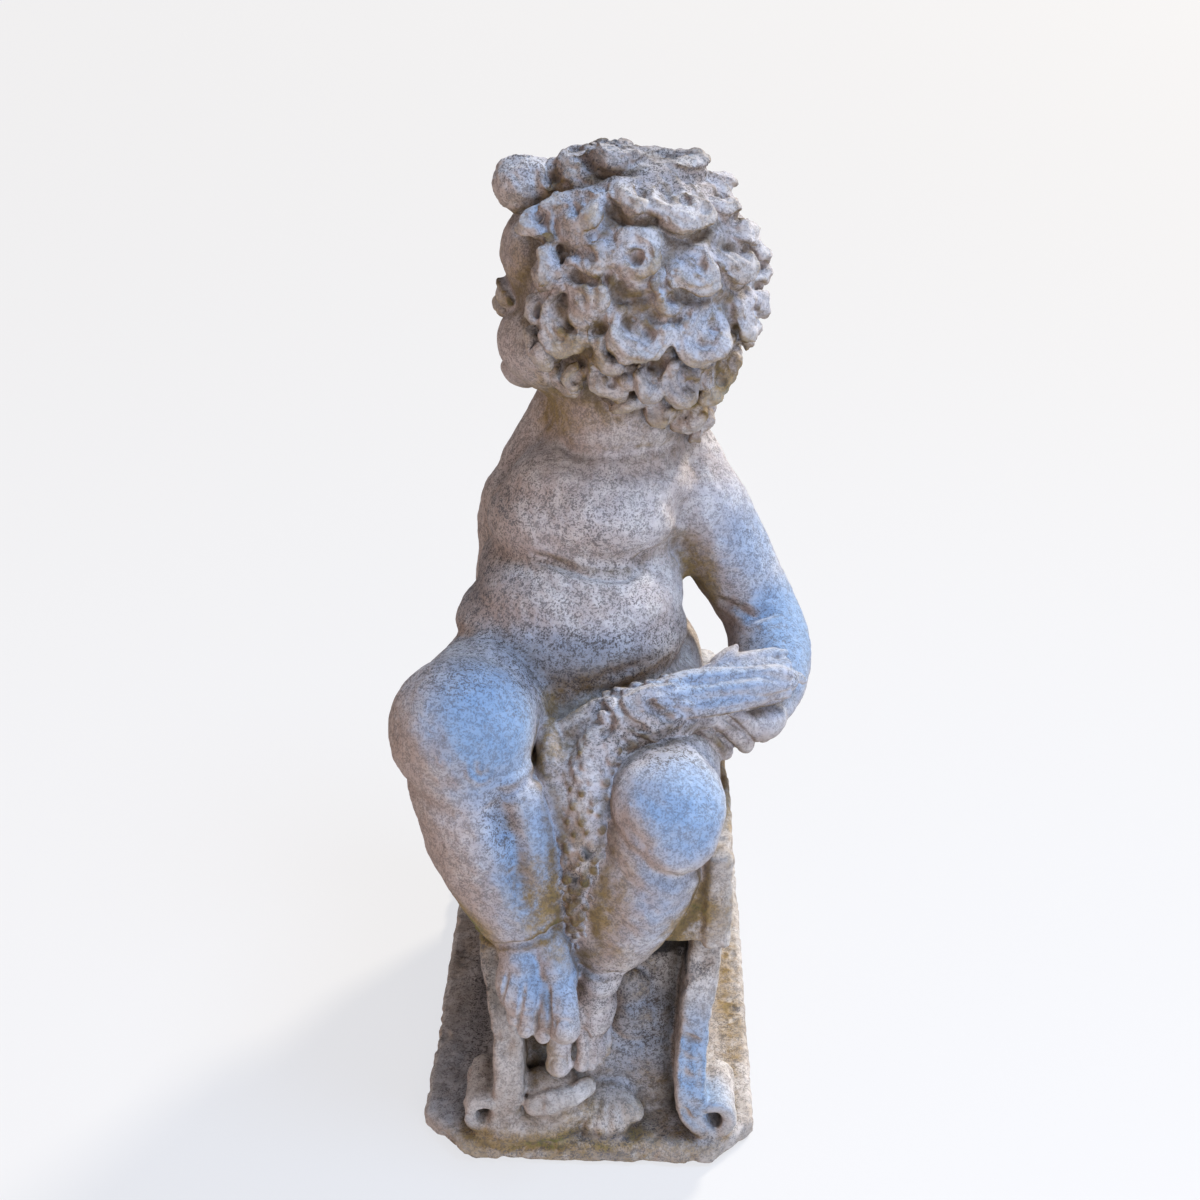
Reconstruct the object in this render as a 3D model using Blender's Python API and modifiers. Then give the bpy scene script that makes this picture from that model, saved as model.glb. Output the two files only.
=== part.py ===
"""Cast stone putto on a scroll-legged stool, one solid.

Metres, +Z up, the figure faces -Y. X = 0 is the middle of the plinth. The solid stands on Z = 0.
Round masses, limbs and locks are modelled on their own, fused by a voxel remesh, thinned, and cut flat below.
"""

import math

import bmesh
import bpy
import numpy as np
from mathutils import Matrix, Vector

# Driving sizes
TRIANGLES = 9600          # of the finished solid, before its underside is cut flat
VOXEL = 0.0028            # grid of the fuse
BODY_SMOOTHING = 36       # rounds that melt the body's masses into one another
SMOOTHING = 4             # rounds after hair, hands, feet and stool are fused on

# Plinth: a slab with cut front corners. Every height below it in this file counts from its top.
PLINTH_WIDTH = 0.285
PLINTH_DEPTH = 0.42
PLINTH_THICK = 0.022
PLINTH_CORNER = 0.036     # length cut off each front corner
SUNK = 0.012              # how far the slab is modelled below the floor before it is cut

# Stool: a seat slab on a narrower body, with a scrolled leg at each corner
SEAT_X = 0.010            # middle of the seat
SEAT_HALF = 0.104
SEAT_FRONT = -0.165
SEAT_BACK = 0.165
SEAT_LOW = 0.182
SEAT_TOP = 0.272
BODY_HALF = 0.070
BODY_FRONT = -0.128
BODY_BACK = 0.140
LEG_FRONT = -0.192
LEG_DEPTH = 0.050
LEG_LEAN = 0.30           # how far the front legs lean back, per metre of height
# Leg seen from the front, from the seat to the eye of its volute: (away from the middle, height, radius)
LEG = ((0.097, 0.186, 0.012), (0.091, 0.152, 0.012), (0.080, 0.118, 0.0125), (0.075, 0.085, 0.013),
       (0.075, 0.055, 0.014), (0.080, 0.030, 0.015), (0.092, 0.013, 0.012), (0.107, 0.013, 0.009),
       (0.118, 0.027, 0.008), (0.119, 0.045, 0.007), (0.109, 0.057, 0.006), (0.098, 0.052, 0.005))
# Shell on the front of the body: ribs that fan out from one root to a layered lip on the plinth
SHELL_ROOT = (0.026, -0.126, 0.148)
SHELL_LIP = (0.022, -0.186, 0.016)
SHELL_RIBS = 5
SHELL_SPREAD = 0.015

# Round masses of the figure: centre, three radii, turn about Z in degrees
MASSES = {
    "pelvis": ((-0.016, 0.066, 0.330), (0.092, 0.084, 0.070), -8),
    "right buttock": ((-0.054, 0.106, 0.318), (0.056, 0.064, 0.054), 0),
    "left buttock": ((0.030, 0.110, 0.314), (0.055, 0.064, 0.052), 0),
    "belly": ((-0.020, 0.008, 0.384), (0.100, 0.086, 0.052), -8),
    "lower belly": ((-0.032, 0.002, 0.364), (0.089, 0.078, 0.042), -8),
    "waist": ((-0.011, 0.036, 0.424), (0.090, 0.076, 0.050), 0),
    "chest": ((-0.008, 0.036, 0.474), (0.084, 0.066, 0.050), 6),
    "back": ((-0.008, 0.080, 0.450), (0.080, 0.054, 0.092), 6),
    "breast": ((0.004, 0.012, 0.480), (0.074, 0.046, 0.038), 4),
    "right shoulder": ((-0.061, 0.076, 0.464), (0.039, 0.042, 0.041), 0),
    "left shoulder": ((0.088, 0.060, 0.474), (0.038, 0.040, 0.039), 0),
    "shoulder girdle": ((0.016, 0.070, 0.500), (0.082, 0.050, 0.032), 3),
    "neck root": ((0.014, 0.066, 0.526), (0.066, 0.054, 0.036), 0),
    "nape": ((0.022, 0.086, 0.545), (0.056, 0.046, 0.052), 0),
    "right knee": ((-0.100, -0.125, 0.361), (0.059, 0.056, 0.059), 0),
    "left knee": ((0.058, -0.155, 0.316), (0.048, 0.047, 0.048), 0),
    "right hip": ((-0.060, 0.046, 0.330), (0.058, 0.080, 0.060), 0),
    "left hip": ((0.042, 0.050, 0.318), (0.054, 0.084, 0.056), 0),
    "throat": ((-0.002, 0.064, 0.572), (0.036, 0.040, 0.036), 0),
    "lap cloth": ((0.008, -0.082, 0.326), (0.030, 0.032, 0.032), 0),
    "heel cloth": ((-0.014, -0.158, 0.166), (0.017, 0.018, 0.024), 0),
    "cloth on the seat": ((-0.018, -0.050, 0.274), (0.076, 0.100, 0.030), 0),
}

# Limbs: (x, y, z, radius) from root to tip
LIMBS = {
    "neck": ((0.014, 0.062, 0.510, 0.058), (0.018, 0.060, 0.550, 0.056), (0.024, 0.058, 0.595, 0.054),
             (0.028, 0.058, 0.635, 0.050)),
    "right trapezius": ((0.008, 0.080, 0.598, 0.034), (-0.018, 0.086, 0.548, 0.036), (-0.050, 0.084, 0.492, 0.036)),
    "left trapezius": ((0.042, 0.078, 0.586, 0.032), (0.056, 0.078, 0.538, 0.033), (0.080, 0.068, 0.496, 0.034)),
    "right thigh": ((-0.056, 0.070, 0.312, 0.056), (-0.070, 0.000, 0.328, 0.060), (-0.087, -0.070, 0.347, 0.058),
                    (-0.099, -0.120, 0.358, 0.055)),
    "left thigh": ((0.028, 0.070, 0.302, 0.052), (0.043, 0.000, 0.312, 0.055), (0.056, -0.080, 0.317, 0.053),
                   (0.058, -0.148, 0.315, 0.046)),
    "right shin": ((-0.098, -0.130, 0.340, 0.049), (-0.096, -0.136, 0.316, 0.047), (-0.087, -0.141, 0.293, 0.049),
                   (-0.079, -0.146, 0.271, 0.050), (-0.067, -0.155, 0.240, 0.044), (-0.052, -0.163, 0.207, 0.036),
                   (-0.042, -0.168, 0.186, 0.029)),
    "left shin": ((0.056, -0.156, 0.300, 0.041), (0.053, -0.156, 0.268, 0.040), (0.045, -0.157, 0.238, 0.042),
                  (0.028, -0.160, 0.195, 0.034), (0.011, -0.160, 0.165, 0.025), (0.003, -0.161, 0.143, 0.021)),
    "left upper arm": ((0.089, 0.060, 0.476, 0.039), (0.107, 0.057, 0.440, 0.039), (0.128, 0.054, 0.402, 0.036),
                       (0.145, 0.048, 0.372, 0.034)),
    "left forearm": ((0.146, 0.048, 0.371, 0.034), (0.151, 0.018, 0.357, 0.036), (0.153, -0.016, 0.345, 0.030),
                     (0.148, -0.042, 0.335, 0.021)),
    "right upper arm": ((-0.062, 0.078, 0.466, 0.039), (-0.070, 0.102, 0.430, 0.038), (-0.077, 0.124, 0.392, 0.033)),
    "right forearm": ((-0.077, 0.126, 0.390, 0.033), (-0.082, 0.134, 0.356, 0.033), (-0.086, 0.138, 0.322, 0.026),
                      (-0.086, 0.140, 0.302, 0.020)),
}

# Feet: ankle, direction to the toes, side that the big toe is on, and length to the roots of the toes
FEET = {
    "right foot": ((-0.042, -0.170, 0.180), (0.10, -0.72, -0.69), (0.95, 0.25, -0.10), 0.054, 0.068),
    "left foot": ((0.002, -0.162, 0.134), (-0.18, -0.52, -0.84), (-0.80, -0.50, 0.50), 0.054, 0.052),
}
TOE_LENGTH = 0.022
TOE_RADIUS = 0.0092       # the big toe's
SMALL_TOE = 0.64          # the other toes' share of it
# Ledge of stone under the left foot
LEDGE = ((-0.046, -0.206, 0.060, 0.010), (-0.026, -0.212, 0.061, 0.008), (-0.004, -0.206, 0.062, 0.007),
         (0.012, -0.194, 0.076, 0.006), (0.018, -0.178, 0.100, 0.006))

# Head: its middle, the way it faces, and how far it is thrown back
HEAD = (0.024, 0.058, 0.662)
FACING = 163              # degrees from +X, towards the figure's right
THROWN_BACK = 3
SKULL = (0.092, 0.079, 0.097)    # radii to the front, the side and the top
# Masses of a calm child's face: place and radii along front, left and up
FACE = (
    ((0.044, 0.000, 0.022), (0.060, 0.062, 0.052)),     # forehead
    ((0.056, 0.031, -0.046), (0.043, 0.037, 0.038)),    # cheeks
    ((0.056, -0.031, -0.046), (0.043, 0.037, 0.038)),
    ((0.040, 0.000, -0.062), (0.054, 0.050, 0.036)),    # jaw
    ((0.084, 0.000, -0.078), (0.018, 0.020, 0.016)),    # chin
    ((0.088, 0.000, -0.055), (0.016, 0.022, 0.015)),    # mouth
    ((0.086, 0.027, -0.012), (0.013, 0.016, 0.010)),    # eyes
    ((0.086, -0.027, -0.012), (0.013, 0.016, 0.010)),
    ((0.097, 0.000, -0.020), (0.010, 0.008, 0.017)),    # nose
    ((0.103, 0.000, -0.031), (0.010, 0.011, 0.009)),
)
FORELOCK = ((0.084, 0.016, 0.078), 0.022)

# Curls: rows from crown to nape as (latitude, first longitude, last longitude, number, radius)
CURL_ROWS = (
    (86, 0, 0, 1, 0.027),
    (60, 0, 300, 6, 0.029),
    (34, 46, 314, 8, 0.028),
    (9, 68, 292, 8, 0.027),
    (-15, 74, 286, 8, 0.026),
    (-38, 82, 278, 7, 0.026),
    (-60, 100, 260, 5, 0.024),
    (-78, 150, 210, 2, 0.019),
)
# Small curls round the nape: (middle of the neck), distance, height, first angle, last angle, how many, radius
NAPE = (((0.030, 0.060), 0.060, 0.578, 125, 245, 7, 0.018), ((0.030, 0.062), 0.058, 0.560, 152, 208, 4, 0.015))
NAPE_TUBE = 0.0078
CURL_VARIES = 0.10        # share by which their sizes differ
CURL_TURNS = 1.2
CURL_TUBE = 0.0102
CURL_LIFT = 0.015

# Sheaf in the left arm, from its heads to its cut end, and the garland that hangs over the seat
SHEAF = ((0.002, -0.096, 0.360, 0.021), (0.040, -0.088, 0.363, 0.022), (0.090, -0.074, 0.368, 0.021),
         (0.135, -0.060, 0.370, 0.020), (0.158, -0.054, 0.368, 0.017))
STALKS = 6
EARS = 9                  # knobbly heads at the sheaf's end
GARLAND = ((-0.026, -0.078, 0.338, 0.018), (-0.018, -0.112, 0.330, 0.020), (-0.006, -0.142, 0.306, 0.022),
           (-0.001, -0.160, 0.270, 0.020), (0.000, -0.172, 0.232, 0.016), (0.004, -0.176, 0.205, 0.011))
GARLAND_KNOBS = 30
# Cloth behind it, over the lap and the front of the seat
CLOTH = ((-0.016, -0.060, 0.300, 0.036), (-0.020, -0.105, 0.290, 0.040), (-0.014, -0.130, 0.255, 0.038),
         (-0.006, -0.140, 0.215, 0.034), (0.000, -0.140, 0.195, 0.026))


def smooth_path(points, steps=6):
    """Catmull-Rom curve through rows of numbers, so that radii ride along with places."""
    rows = np.asarray(points, dtype=float)
    rows = np.vstack([2 * rows[0] - rows[1], rows, 2 * rows[-1] - rows[-2]])
    t = np.linspace(0.0, 1.0, steps, endpoint=False)[:, None]
    spans = []
    for a, b, c, d in zip(rows, rows[1:], rows[2:], rows[3:]):
        spans.append(0.5 * (2 * b + (c - a) * t + (2 * a - 5 * b + 4 * c - d) * t**2
                            + (3 * b - a - 3 * c + d) * t**3))
    return np.vstack(spans + [rows[-2:-1]])


def rounded(path):
    """The same path with a dome of four points past each end."""
    def dome(end, before):
        way = end[:3] - before[:3]
        way /= np.linalg.norm(way)
        angles = np.radians((30, 55, 75, 86))
        return [np.append(end[:3] + way * end[3] * math.sin(a), end[3] * math.cos(a)) for a in angles]
    head = dome(path[0], path[1])[::-1]
    tail = dome(path[-1], path[-2])
    return np.vstack([head, path, tail])


def add_tubes(soup, paths, sides=14):
    """Every path of (x, y, z, radius) as one spline of a bevelled curve, welded into the soup."""
    curve = bpy.data.curves.new("tubes", "CURVE")
    curve.dimensions = "3D"
    curve.bevel_depth = 1.0
    curve.bevel_resolution = sides // 2 - 2
    curve.use_fill_caps = True
    for path in paths:
        spline = curve.splines.new("POLY")
        spline.points.add(len(path) - 1)
        for point, row in zip(spline.points, path):
            point.co = (*row[:3], 1.0)
            point.radius = row[3]
    holder = bpy.data.objects.new("tubes", curve)
    bpy.context.scene.collection.objects.link(holder)
    bpy.context.view_layer.update()
    mesh = bpy.data.meshes.new_from_object(holder.evaluated_get(bpy.context.evaluated_depsgraph_get()))
    soup.from_mesh(mesh)
    bpy.data.objects.remove(holder)
    bpy.data.curves.remove(curve)
    bpy.data.meshes.remove(mesh)


def add_ball(soup, place, radii, frame=None):
    """An ellipsoid; frame is a 3 by 3 rotation whose columns are its axes."""
    turn = (frame or Matrix.Identity(3)).to_4x4()
    matrix = Matrix.Translation(place) @ turn @ Matrix.Diagonal((*radii, 1.0))
    bmesh.ops.create_uvsphere(soup, u_segments=24, v_segments=14, radius=1.0, matrix=matrix)


def add_block(soup, low, high, corner=0.0, only_front=False):
    """A box with its upright edges cut by a corner length."""
    size = Vector(high) - Vector(low)
    middle = (Vector(high) + Vector(low)) / 2
    made = bmesh.ops.create_cube(soup, size=1.0, matrix=Matrix.Translation(middle) @ Matrix.Diagonal((*size, 1.0)))
    if corner:
        edges = {e for v in made["verts"] for e in v.link_edges}
        upright = [e for e in edges if abs(e.verts[0].co.z - e.verts[1].co.z) > size.z / 2
                   and (not only_front or e.verts[0].co.y < middle.y)]
        bmesh.ops.bevel(soup, geom=upright, offset=corner, segments=1, affect="EDGES")


def frame_of(front, left):
    """Columns: front, left squared up against it, and up."""
    front = Vector(front).normalized()
    up = front.cross(Vector(left)).normalized()
    left = up.cross(front)
    return Matrix((front, left, up)).transposed()


def head_frame():
    turn, tilt = math.radians(FACING), math.radians(THROWN_BACK)
    front = Vector((math.cos(turn) * math.cos(tilt), math.sin(turn) * math.cos(tilt), math.sin(tilt)))
    return frame_of(front, (-math.sin(turn), math.cos(turn), 0.0))


def curl(frame, latitude, longitude, radius, hand, start):
    """A lock that winds in from its root to a raised middle, laid on the skull."""
    lat, lon = math.radians(latitude), math.radians(longitude)
    way = Vector((math.cos(lat) * math.cos(lon), math.cos(lat) * math.sin(lon), math.sin(lat)))
    side = Vector((-math.sin(lon), math.cos(lon), 0.0))
    down = way.cross(side)
    skull = Vector(SKULL)
    rows = []
    for s in np.linspace(0.0, 1.0, 22):
        angle = start + hand * 2 * math.pi * CURL_TURNS * s
        reach = (radius - CURL_TUBE * 0.8) * (1 - 0.92 * s)
        spot = way * skull.length / math.sqrt(3) + (side * math.cos(angle) + down * math.sin(angle)) * reach
        spot.normalize()
        lift = CURL_LIFT * (0.35 + 0.75 * s)
        place = Vector(HEAD) + frame @ Vector([spot[i] * (skull[i] + lift) for i in range(3)])
        tube = CURL_TUBE * (0.62 + 0.38 * math.sin(math.pi * min(1.0, 0.15 + s)))
        rows.append((*place, tube))
    return rounded(np.array(rows))


def curls():
    """Rows of curls round the head; neighbours wind opposite ways."""
    frame = head_frame()
    paths = []
    for row, (latitude, first, last, number, radius) in enumerate(CURL_ROWS):
        step = (last - first) / max(1, number - 1)
        for i in range(number):
            hand = 1 if (i + row) % 2 else -1
            start = 2.4 * (i + 3 * row)
            size = radius * (1 + CURL_VARIES * math.sin(5.1 * i + 2.3 * row))
            paths.append(curl(frame, latitude, first + i * step, size, hand, start))
    return paths


def nape_curls():
    """Small spirals standing round the back of the neck, under the rows of the skull."""
    paths = []
    for row, ((x, y), distance, height, first, last, number, radius) in enumerate(NAPE):
        for i, longitude in enumerate(np.linspace(first, last, number)):
            angle = math.radians(longitude + FACING)
            out = np.array((math.cos(angle), math.sin(angle), 0.0))
            side, up = np.array((-out[1], out[0], 0.0)), np.array((0.0, 0.0, 1.0))
            middle = np.array((x, y, height)) + out * distance + up * 0.006 * math.sin(3.7 * i + row)
            s = np.linspace(0.0, 1.0, 14)[:, None]
            turn = (-1) ** (i + row) * 2 * math.pi * 1.1 * s + 2.1 * i
            reach = (radius - NAPE_TUBE) * (1 - 0.9 * s)
            line = middle + (side * np.cos(turn) + up * np.sin(turn)) * reach + out * 0.008 * s
            paths.append(rounded(np.hstack([line, np.full_like(s, NAPE_TUBE)])))
    return paths


def add_head(soup):
    frame = head_frame()
    add_ball(soup, HEAD, SKULL, frame)
    for place, radii in FACE:
        add_ball(soup, Vector(HEAD) + frame @ Vector(place), radii, frame)
    place, radius = FORELOCK
    add_ball(soup, Vector(HEAD) + frame @ Vector(place), (radius, radius, radius))
    add_tubes(soup, curls() + nape_curls(), sides=12)


def add_foot(soup, ankle, along, inward, length, width):
    """Ankle, heel, instep and five toes in a fan, longest at the big toe."""
    frame = frame_of(along, inward)
    ankle = Vector(ankle)

    def spot(front, left, up):
        return ankle + frame @ Vector((front, left, up))
    add_ball(soup, spot(0.004, 0.0, -0.004), (0.026, 0.023, 0.024), frame)
    add_ball(soup, spot(-0.010, 0.0, -0.018), (0.022, 0.019, 0.020), frame)
    add_ball(soup, spot(length * 0.55, 0.0, -0.007), (length * 0.62, width * 0.47, 0.019), frame)
    toes = []
    for i in range(5):
        size = TOE_RADIUS * (1.0 if i == 0 else SMALL_TOE - 0.03 * i)
        across = width * (0.35 - (0.0 if i == 0 else 0.10 + 0.160 * i))
        reach = length - 0.0050 * i
        toe = [(*spot(reach - 0.010, across * 0.86, -0.007), size),
               (*spot(reach + TOE_LENGTH * 0.35, across, -0.004), size),
               (*spot(reach + TOE_LENGTH * (0.95 - 0.10 * i), across * 1.03, -0.012), size * 0.98)]
        toes.append(rounded(smooth_path(toe, 3)))
    add_tubes(soup, toes, sides=12)


def add_stool(soup):
    """Seat slab over its body, the cloth's end at its corner, four scrolled legs and the shell."""
    left, right = SEAT_X - SEAT_HALF, SEAT_X + SEAT_HALF
    add_block(soup, (left, SEAT_FRONT, SEAT_LOW), (right, SEAT_BACK, SEAT_TOP), 0.008)
    add_block(soup, (right - 0.022, SEAT_FRONT - 0.005, SEAT_LOW - 0.003), (right + 0.002, -0.05, SEAT_TOP), 0.004)
    add_block(soup, (SEAT_X - BODY_HALF, BODY_FRONT, -0.01), (SEAT_X + BODY_HALF, BODY_BACK, SEAT_LOW + 0.01))
    for side in (-1, 1):
        for front in (LEG_FRONT, BODY_BACK - 0.02):
            add_leg(soup, side, front)
    add_tubes(soup, shell_ribs(), sides=10)


def add_leg(soup, side, front):
    """One leg: a band as thick as its table says, carried down into the volute."""
    outline = smooth_path([(a, 0.0, z, r) for a, z, r in LEG], 4)
    line = outline[:, [0, 2]] * (side, 1)
    along = np.gradient(line, axis=0)
    out = np.stack([-along[:, 1], along[:, 0]], axis=1) / np.linalg.norm(along, axis=1)[:, None]
    lean = LEG_LEAN * np.maximum(0.0, line[:, 1] - 0.05) * (front < 0)
    rings = []
    for (x, z), (u, w), radius, back in zip(line, out, outline[:, 3], lean):
        corners = ((-radius, 0), (radius, 0), (radius, LEG_DEPTH), (-radius, LEG_DEPTH))
        rings.append([soup.verts.new((SEAT_X + x + u * a, front + back + y, z + w * a)) for a, y in corners])
    faces = [soup.faces.new(rings[0]), soup.faces.new(rings[-1][::-1])]
    for one, two in zip(rings, rings[1:]):
        for k in range(4):
            faces.append(soup.faces.new((one[k - 1], two[k - 1], two[k], one[k])))
    bmesh.ops.recalc_face_normals(soup, faces=faces)


def shell_ribs():
    """Ribs in a fan, each swelling outwards on its way down to the lip."""
    ribs = []
    root, lip = np.array(SHELL_ROOT), np.array(SHELL_LIP)
    for i in range(SHELL_RIBS):
        off = i - (SHELL_RIBS - 1) / 2
        t = np.linspace(0.0, 1.0, 9)[:, None]
        line = root + (lip - root) * t
        line[:, 0] += off * SHELL_SPREAD * t[:, 0] ** 0.7
        line[:, 1] += 0.004 * off * off * t[:, 0] - 0.012 * np.sin(math.pi * t[:, 0])
        line[:, 2] += 0.0035 * off * off * t[:, 0]
        ribs.append(rounded(np.hstack([line, 0.008 + 0.004 * t])))
    return ribs


def add_sheaf(soup):
    """Stalks side by side round the sheaf's middle line, with a cluster of knobbly heads."""
    line = smooth_path(SHEAF, 4)
    stalks = []
    for i in range(STALKS):
        angle = 2 * math.pi * i / STALKS
        stalk = line.copy()
        stalk[:, 1] += 0.62 * line[:, 3] * math.cos(angle)
        stalk[:, 2] += 0.62 * line[:, 3] * math.sin(angle)
        stalk[:, 3] = 0.38 * line[:, 3]
        stalks.append(rounded(stalk))
    add_tubes(soup, stalks + [rounded(line * (1, 1, 1, 0.72))], sides=10)
    add_knobs(soup, SHEAF[:2], EARS, 0.010)


def add_knobs(soup, path, number, size):
    """Knobs set by the golden angle round the near side of a line."""
    line = smooth_path(path, 8)
    for i in range(number):
        row = line[int((len(line) - 1) * i / (number - 1))]
        angle = 2.39996 * i
        way = np.array((math.cos(angle), -0.5 - 0.3 * math.sin(angle), 0.45 * math.sin(2 * angle)))
        add_ball(soup, row[:3] + row[3] * 0.85 * way, (size, size * 0.8, size))


def add_hand(soup):
    """The left hand under the sheaf, its fingers bent up in front of it."""
    add_ball(soup, (0.136, -0.058, 0.334), (0.026, 0.026, 0.018))
    add_ball(soup, (0.112, -0.070, 0.338), (0.024, 0.022, 0.018))
    fingers = []
    for i in range(4):
        x = 0.137 - 0.0165 * i
        fingers.append(rounded(smooth_path([(x + 0.012, -0.066, 0.322, 0.0085), (x, -0.090, 0.327, 0.0082),
                                            (x - 0.012, -0.101, 0.340, 0.0078),
                                            (x - 0.024, -0.098, 0.353, 0.0070)], 4)))
    add_tubes(soup, fingers, sides=12)


def add_right_hand(soup):
    """The right hand, laid on the seat with its fingers over the back edge."""
    add_ball(soup, (-0.086, 0.146, 0.287), (0.026, 0.026, 0.015))
    fingers = []
    for i in range(4):
        x = -0.106 + 0.0135 * i
        fingers.append(rounded(smooth_path([(x, 0.152, 0.287, 0.0072), (x, 0.167, 0.282, 0.0072),
                                            (x, 0.174, 0.266, 0.0066)], 4)))
    fingers.append(rounded(smooth_path([(-0.072, 0.138, 0.288, 0.0080), (-0.062, 0.146, 0.284, 0.0078),
                                        (-0.056, 0.158, 0.280, 0.0068)], 4)))
    add_tubes(soup, fingers, sides=12)


def body_soup():
    """The soft forms, which melt into one another."""
    soup = bmesh.new()
    for place, radii, turn in MASSES.values():
        add_ball(soup, place, radii, Matrix.Rotation(math.radians(turn), 3, "Z"))
    add_tubes(soup, [rounded(smooth_path(limb)) for limb in LIMBS.values()], sides=20)
    return soup


def crisp_soup():
    """The forms that keep their edges: plinth, stool, hair, face, hands, feet, sheaf and garland."""
    soup = bmesh.new()
    add_block(soup, (-PLINTH_WIDTH / 2, -PLINTH_DEPTH / 2, -PLINTH_THICK - SUNK),
              (PLINTH_WIDTH / 2, PLINTH_DEPTH / 2, 0.0), PLINTH_CORNER, only_front=True)
    add_stool(soup)
    for foot in FEET.values():
        add_foot(soup, *foot)
    add_tubes(soup, [rounded(smooth_path(path)) for path in (LEDGE, CLOTH, GARLAND)], sides=14)
    add_knobs(soup, GARLAND, GARLAND_KNOBS, 0.009)
    add_head(soup)
    add_hand(soup)
    add_right_hand(soup)
    add_sheaf(soup)
    return soup


def apply_modifiers(thing):
    """The mesh as the viewport evaluates it becomes the thing's own."""
    view = bpy.context.evaluated_depsgraph_get()
    view.update()
    made = bpy.data.meshes.new_from_object(thing.evaluated_get(view))
    thing.modifiers.clear()
    thing.data = made


def fuse(thing, soup, rounds):
    """Adds the soup to the thing, joins all of it with a voxel remesh and smooths it."""
    soup.from_mesh(thing.data)
    mesh = bpy.data.meshes.new("putto_statue")
    soup.to_mesh(mesh)
    soup.free()
    thing.data = mesh
    remesh = thing.modifiers.new("fuse", "REMESH")
    remesh.mode = "VOXEL"
    remesh.voxel_size = VOXEL
    smooth = thing.modifiers.new("soften", "SMOOTH")
    smooth.factor = 0.5
    smooth.iterations = rounds
    apply_modifiers(thing)


def thin(thing):
    """Collapses edges down to the wanted number of triangles."""
    triangles = sum(len(p.vertices) - 2 for p in thing.data.polygons)
    fewer = thing.modifiers.new("thin", "DECIMATE")
    fewer.ratio = TRIANGLES / triangles
    fewer.use_collapse_triangulate = True
    apply_modifiers(thing)
    print("fused:", triangles, "triangles, thinned to", len(thing.data.polygons))


def cut_flat(thing, cutters):
    """Takes off what is below the floor."""
    block = bmesh.new()
    add_block(block, (-0.5, -0.5, -0.2), (0.5, 0.5, 0.0))
    mesh = bpy.data.meshes.new("floor_cut")
    block.to_mesh(mesh)
    block.free()
    cutter = bpy.data.objects.new("floor_cut", mesh)
    cutters.objects.link(cutter)
    cutter.hide_render = True
    cutter.display_type = "WIRE"
    cut = thing.modifiers.new("cut", "BOOLEAN")
    cut.operation = "DIFFERENCE"
    cut.solver = "EXACT"
    cut.object = cutter
    apply_modifiers(thing)


def stone():
    material = bpy.data.materials.new("weathered_cast_stone")
    material.use_nodes = True
    shader = material.node_tree.nodes["Principled BSDF"]
    shader.inputs["Base Color"].default_value = (0.44, 0.40, 0.38, 1.0)
    shader.inputs["Roughness"].default_value = 0.92
    shader.inputs["Metallic"].default_value = 0.0
    return material


def main():
    for thing in list(bpy.data.objects):
        bpy.data.objects.remove(thing)
    parts = bpy.data.collections.new("stone_putto_statue")
    cutters = bpy.data.collections.new("cutters")
    bpy.context.scene.collection.children.link(parts)
    bpy.context.scene.collection.children.link(cutters)
    statue = bpy.data.objects.new("putto_statue", bpy.data.meshes.new("putto_statue"))
    parts.objects.link(statue)
    fuse(statue, body_soup(), BODY_SMOOTHING)
    fuse(statue, crisp_soup(), SMOOTHING)
    thin(statue)
    statue.data.transform(Matrix.Translation((0.0, 0.0, PLINTH_THICK)))
    cut_flat(statue, cutters)
    statue.data.materials.clear()
    statue.data.materials.append(stone())


main()
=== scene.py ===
import math

import bmesh
import bpy
import numpy as np
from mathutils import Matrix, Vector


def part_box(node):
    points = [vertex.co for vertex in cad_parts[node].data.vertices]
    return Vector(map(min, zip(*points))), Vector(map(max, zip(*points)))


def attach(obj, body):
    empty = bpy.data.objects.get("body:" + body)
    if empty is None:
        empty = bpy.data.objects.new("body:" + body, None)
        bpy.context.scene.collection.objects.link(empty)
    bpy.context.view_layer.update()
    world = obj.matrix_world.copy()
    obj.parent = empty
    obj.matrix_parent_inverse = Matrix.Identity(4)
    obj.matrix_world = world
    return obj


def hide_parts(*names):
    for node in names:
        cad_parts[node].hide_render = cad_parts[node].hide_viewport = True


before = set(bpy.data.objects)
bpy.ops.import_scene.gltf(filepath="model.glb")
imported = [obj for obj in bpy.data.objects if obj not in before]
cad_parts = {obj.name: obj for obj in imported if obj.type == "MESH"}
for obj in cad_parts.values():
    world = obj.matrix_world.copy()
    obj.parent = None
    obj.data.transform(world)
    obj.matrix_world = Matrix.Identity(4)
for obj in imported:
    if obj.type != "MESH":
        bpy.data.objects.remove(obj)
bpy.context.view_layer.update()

# The carved surface of a cast stone putto: figure, hair, sheaf with garland, and stool with plinth.
# Forms are worked out as grids, melted together on a voxel grid, carved along named lines and weathered.
# +Z up, the figure faces -Y, and heights count from the plinth's top. Lengths are in metres and angles in
# degrees, but tables that metres() converts, the depths and widths of creases, and the reach and radius of
# locks are in mm.
NODE = "putto_statue"
LOW = np.array(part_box(NODE)[0])
PLINTH_WIDTH, PLINTH_DEPTH, PLINTH_THICK, PLINTH_CORNER = 0.285, 0.42, 0.022, 0.036
BASE = np.array((0.0, 0.0, LOW[2] + PLINTH_THICK))
# Triangles that each piece is thinned to, and how deeply rain has worn its skin
FACES = {"figure": 192000, "hair": 192000, "sheaf": 130000, "stool": 170000}
WORN = {"figure": 0.00065, "hair": 0.0017, "sheaf": 0.0008, "stool": 0.0008}
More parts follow.
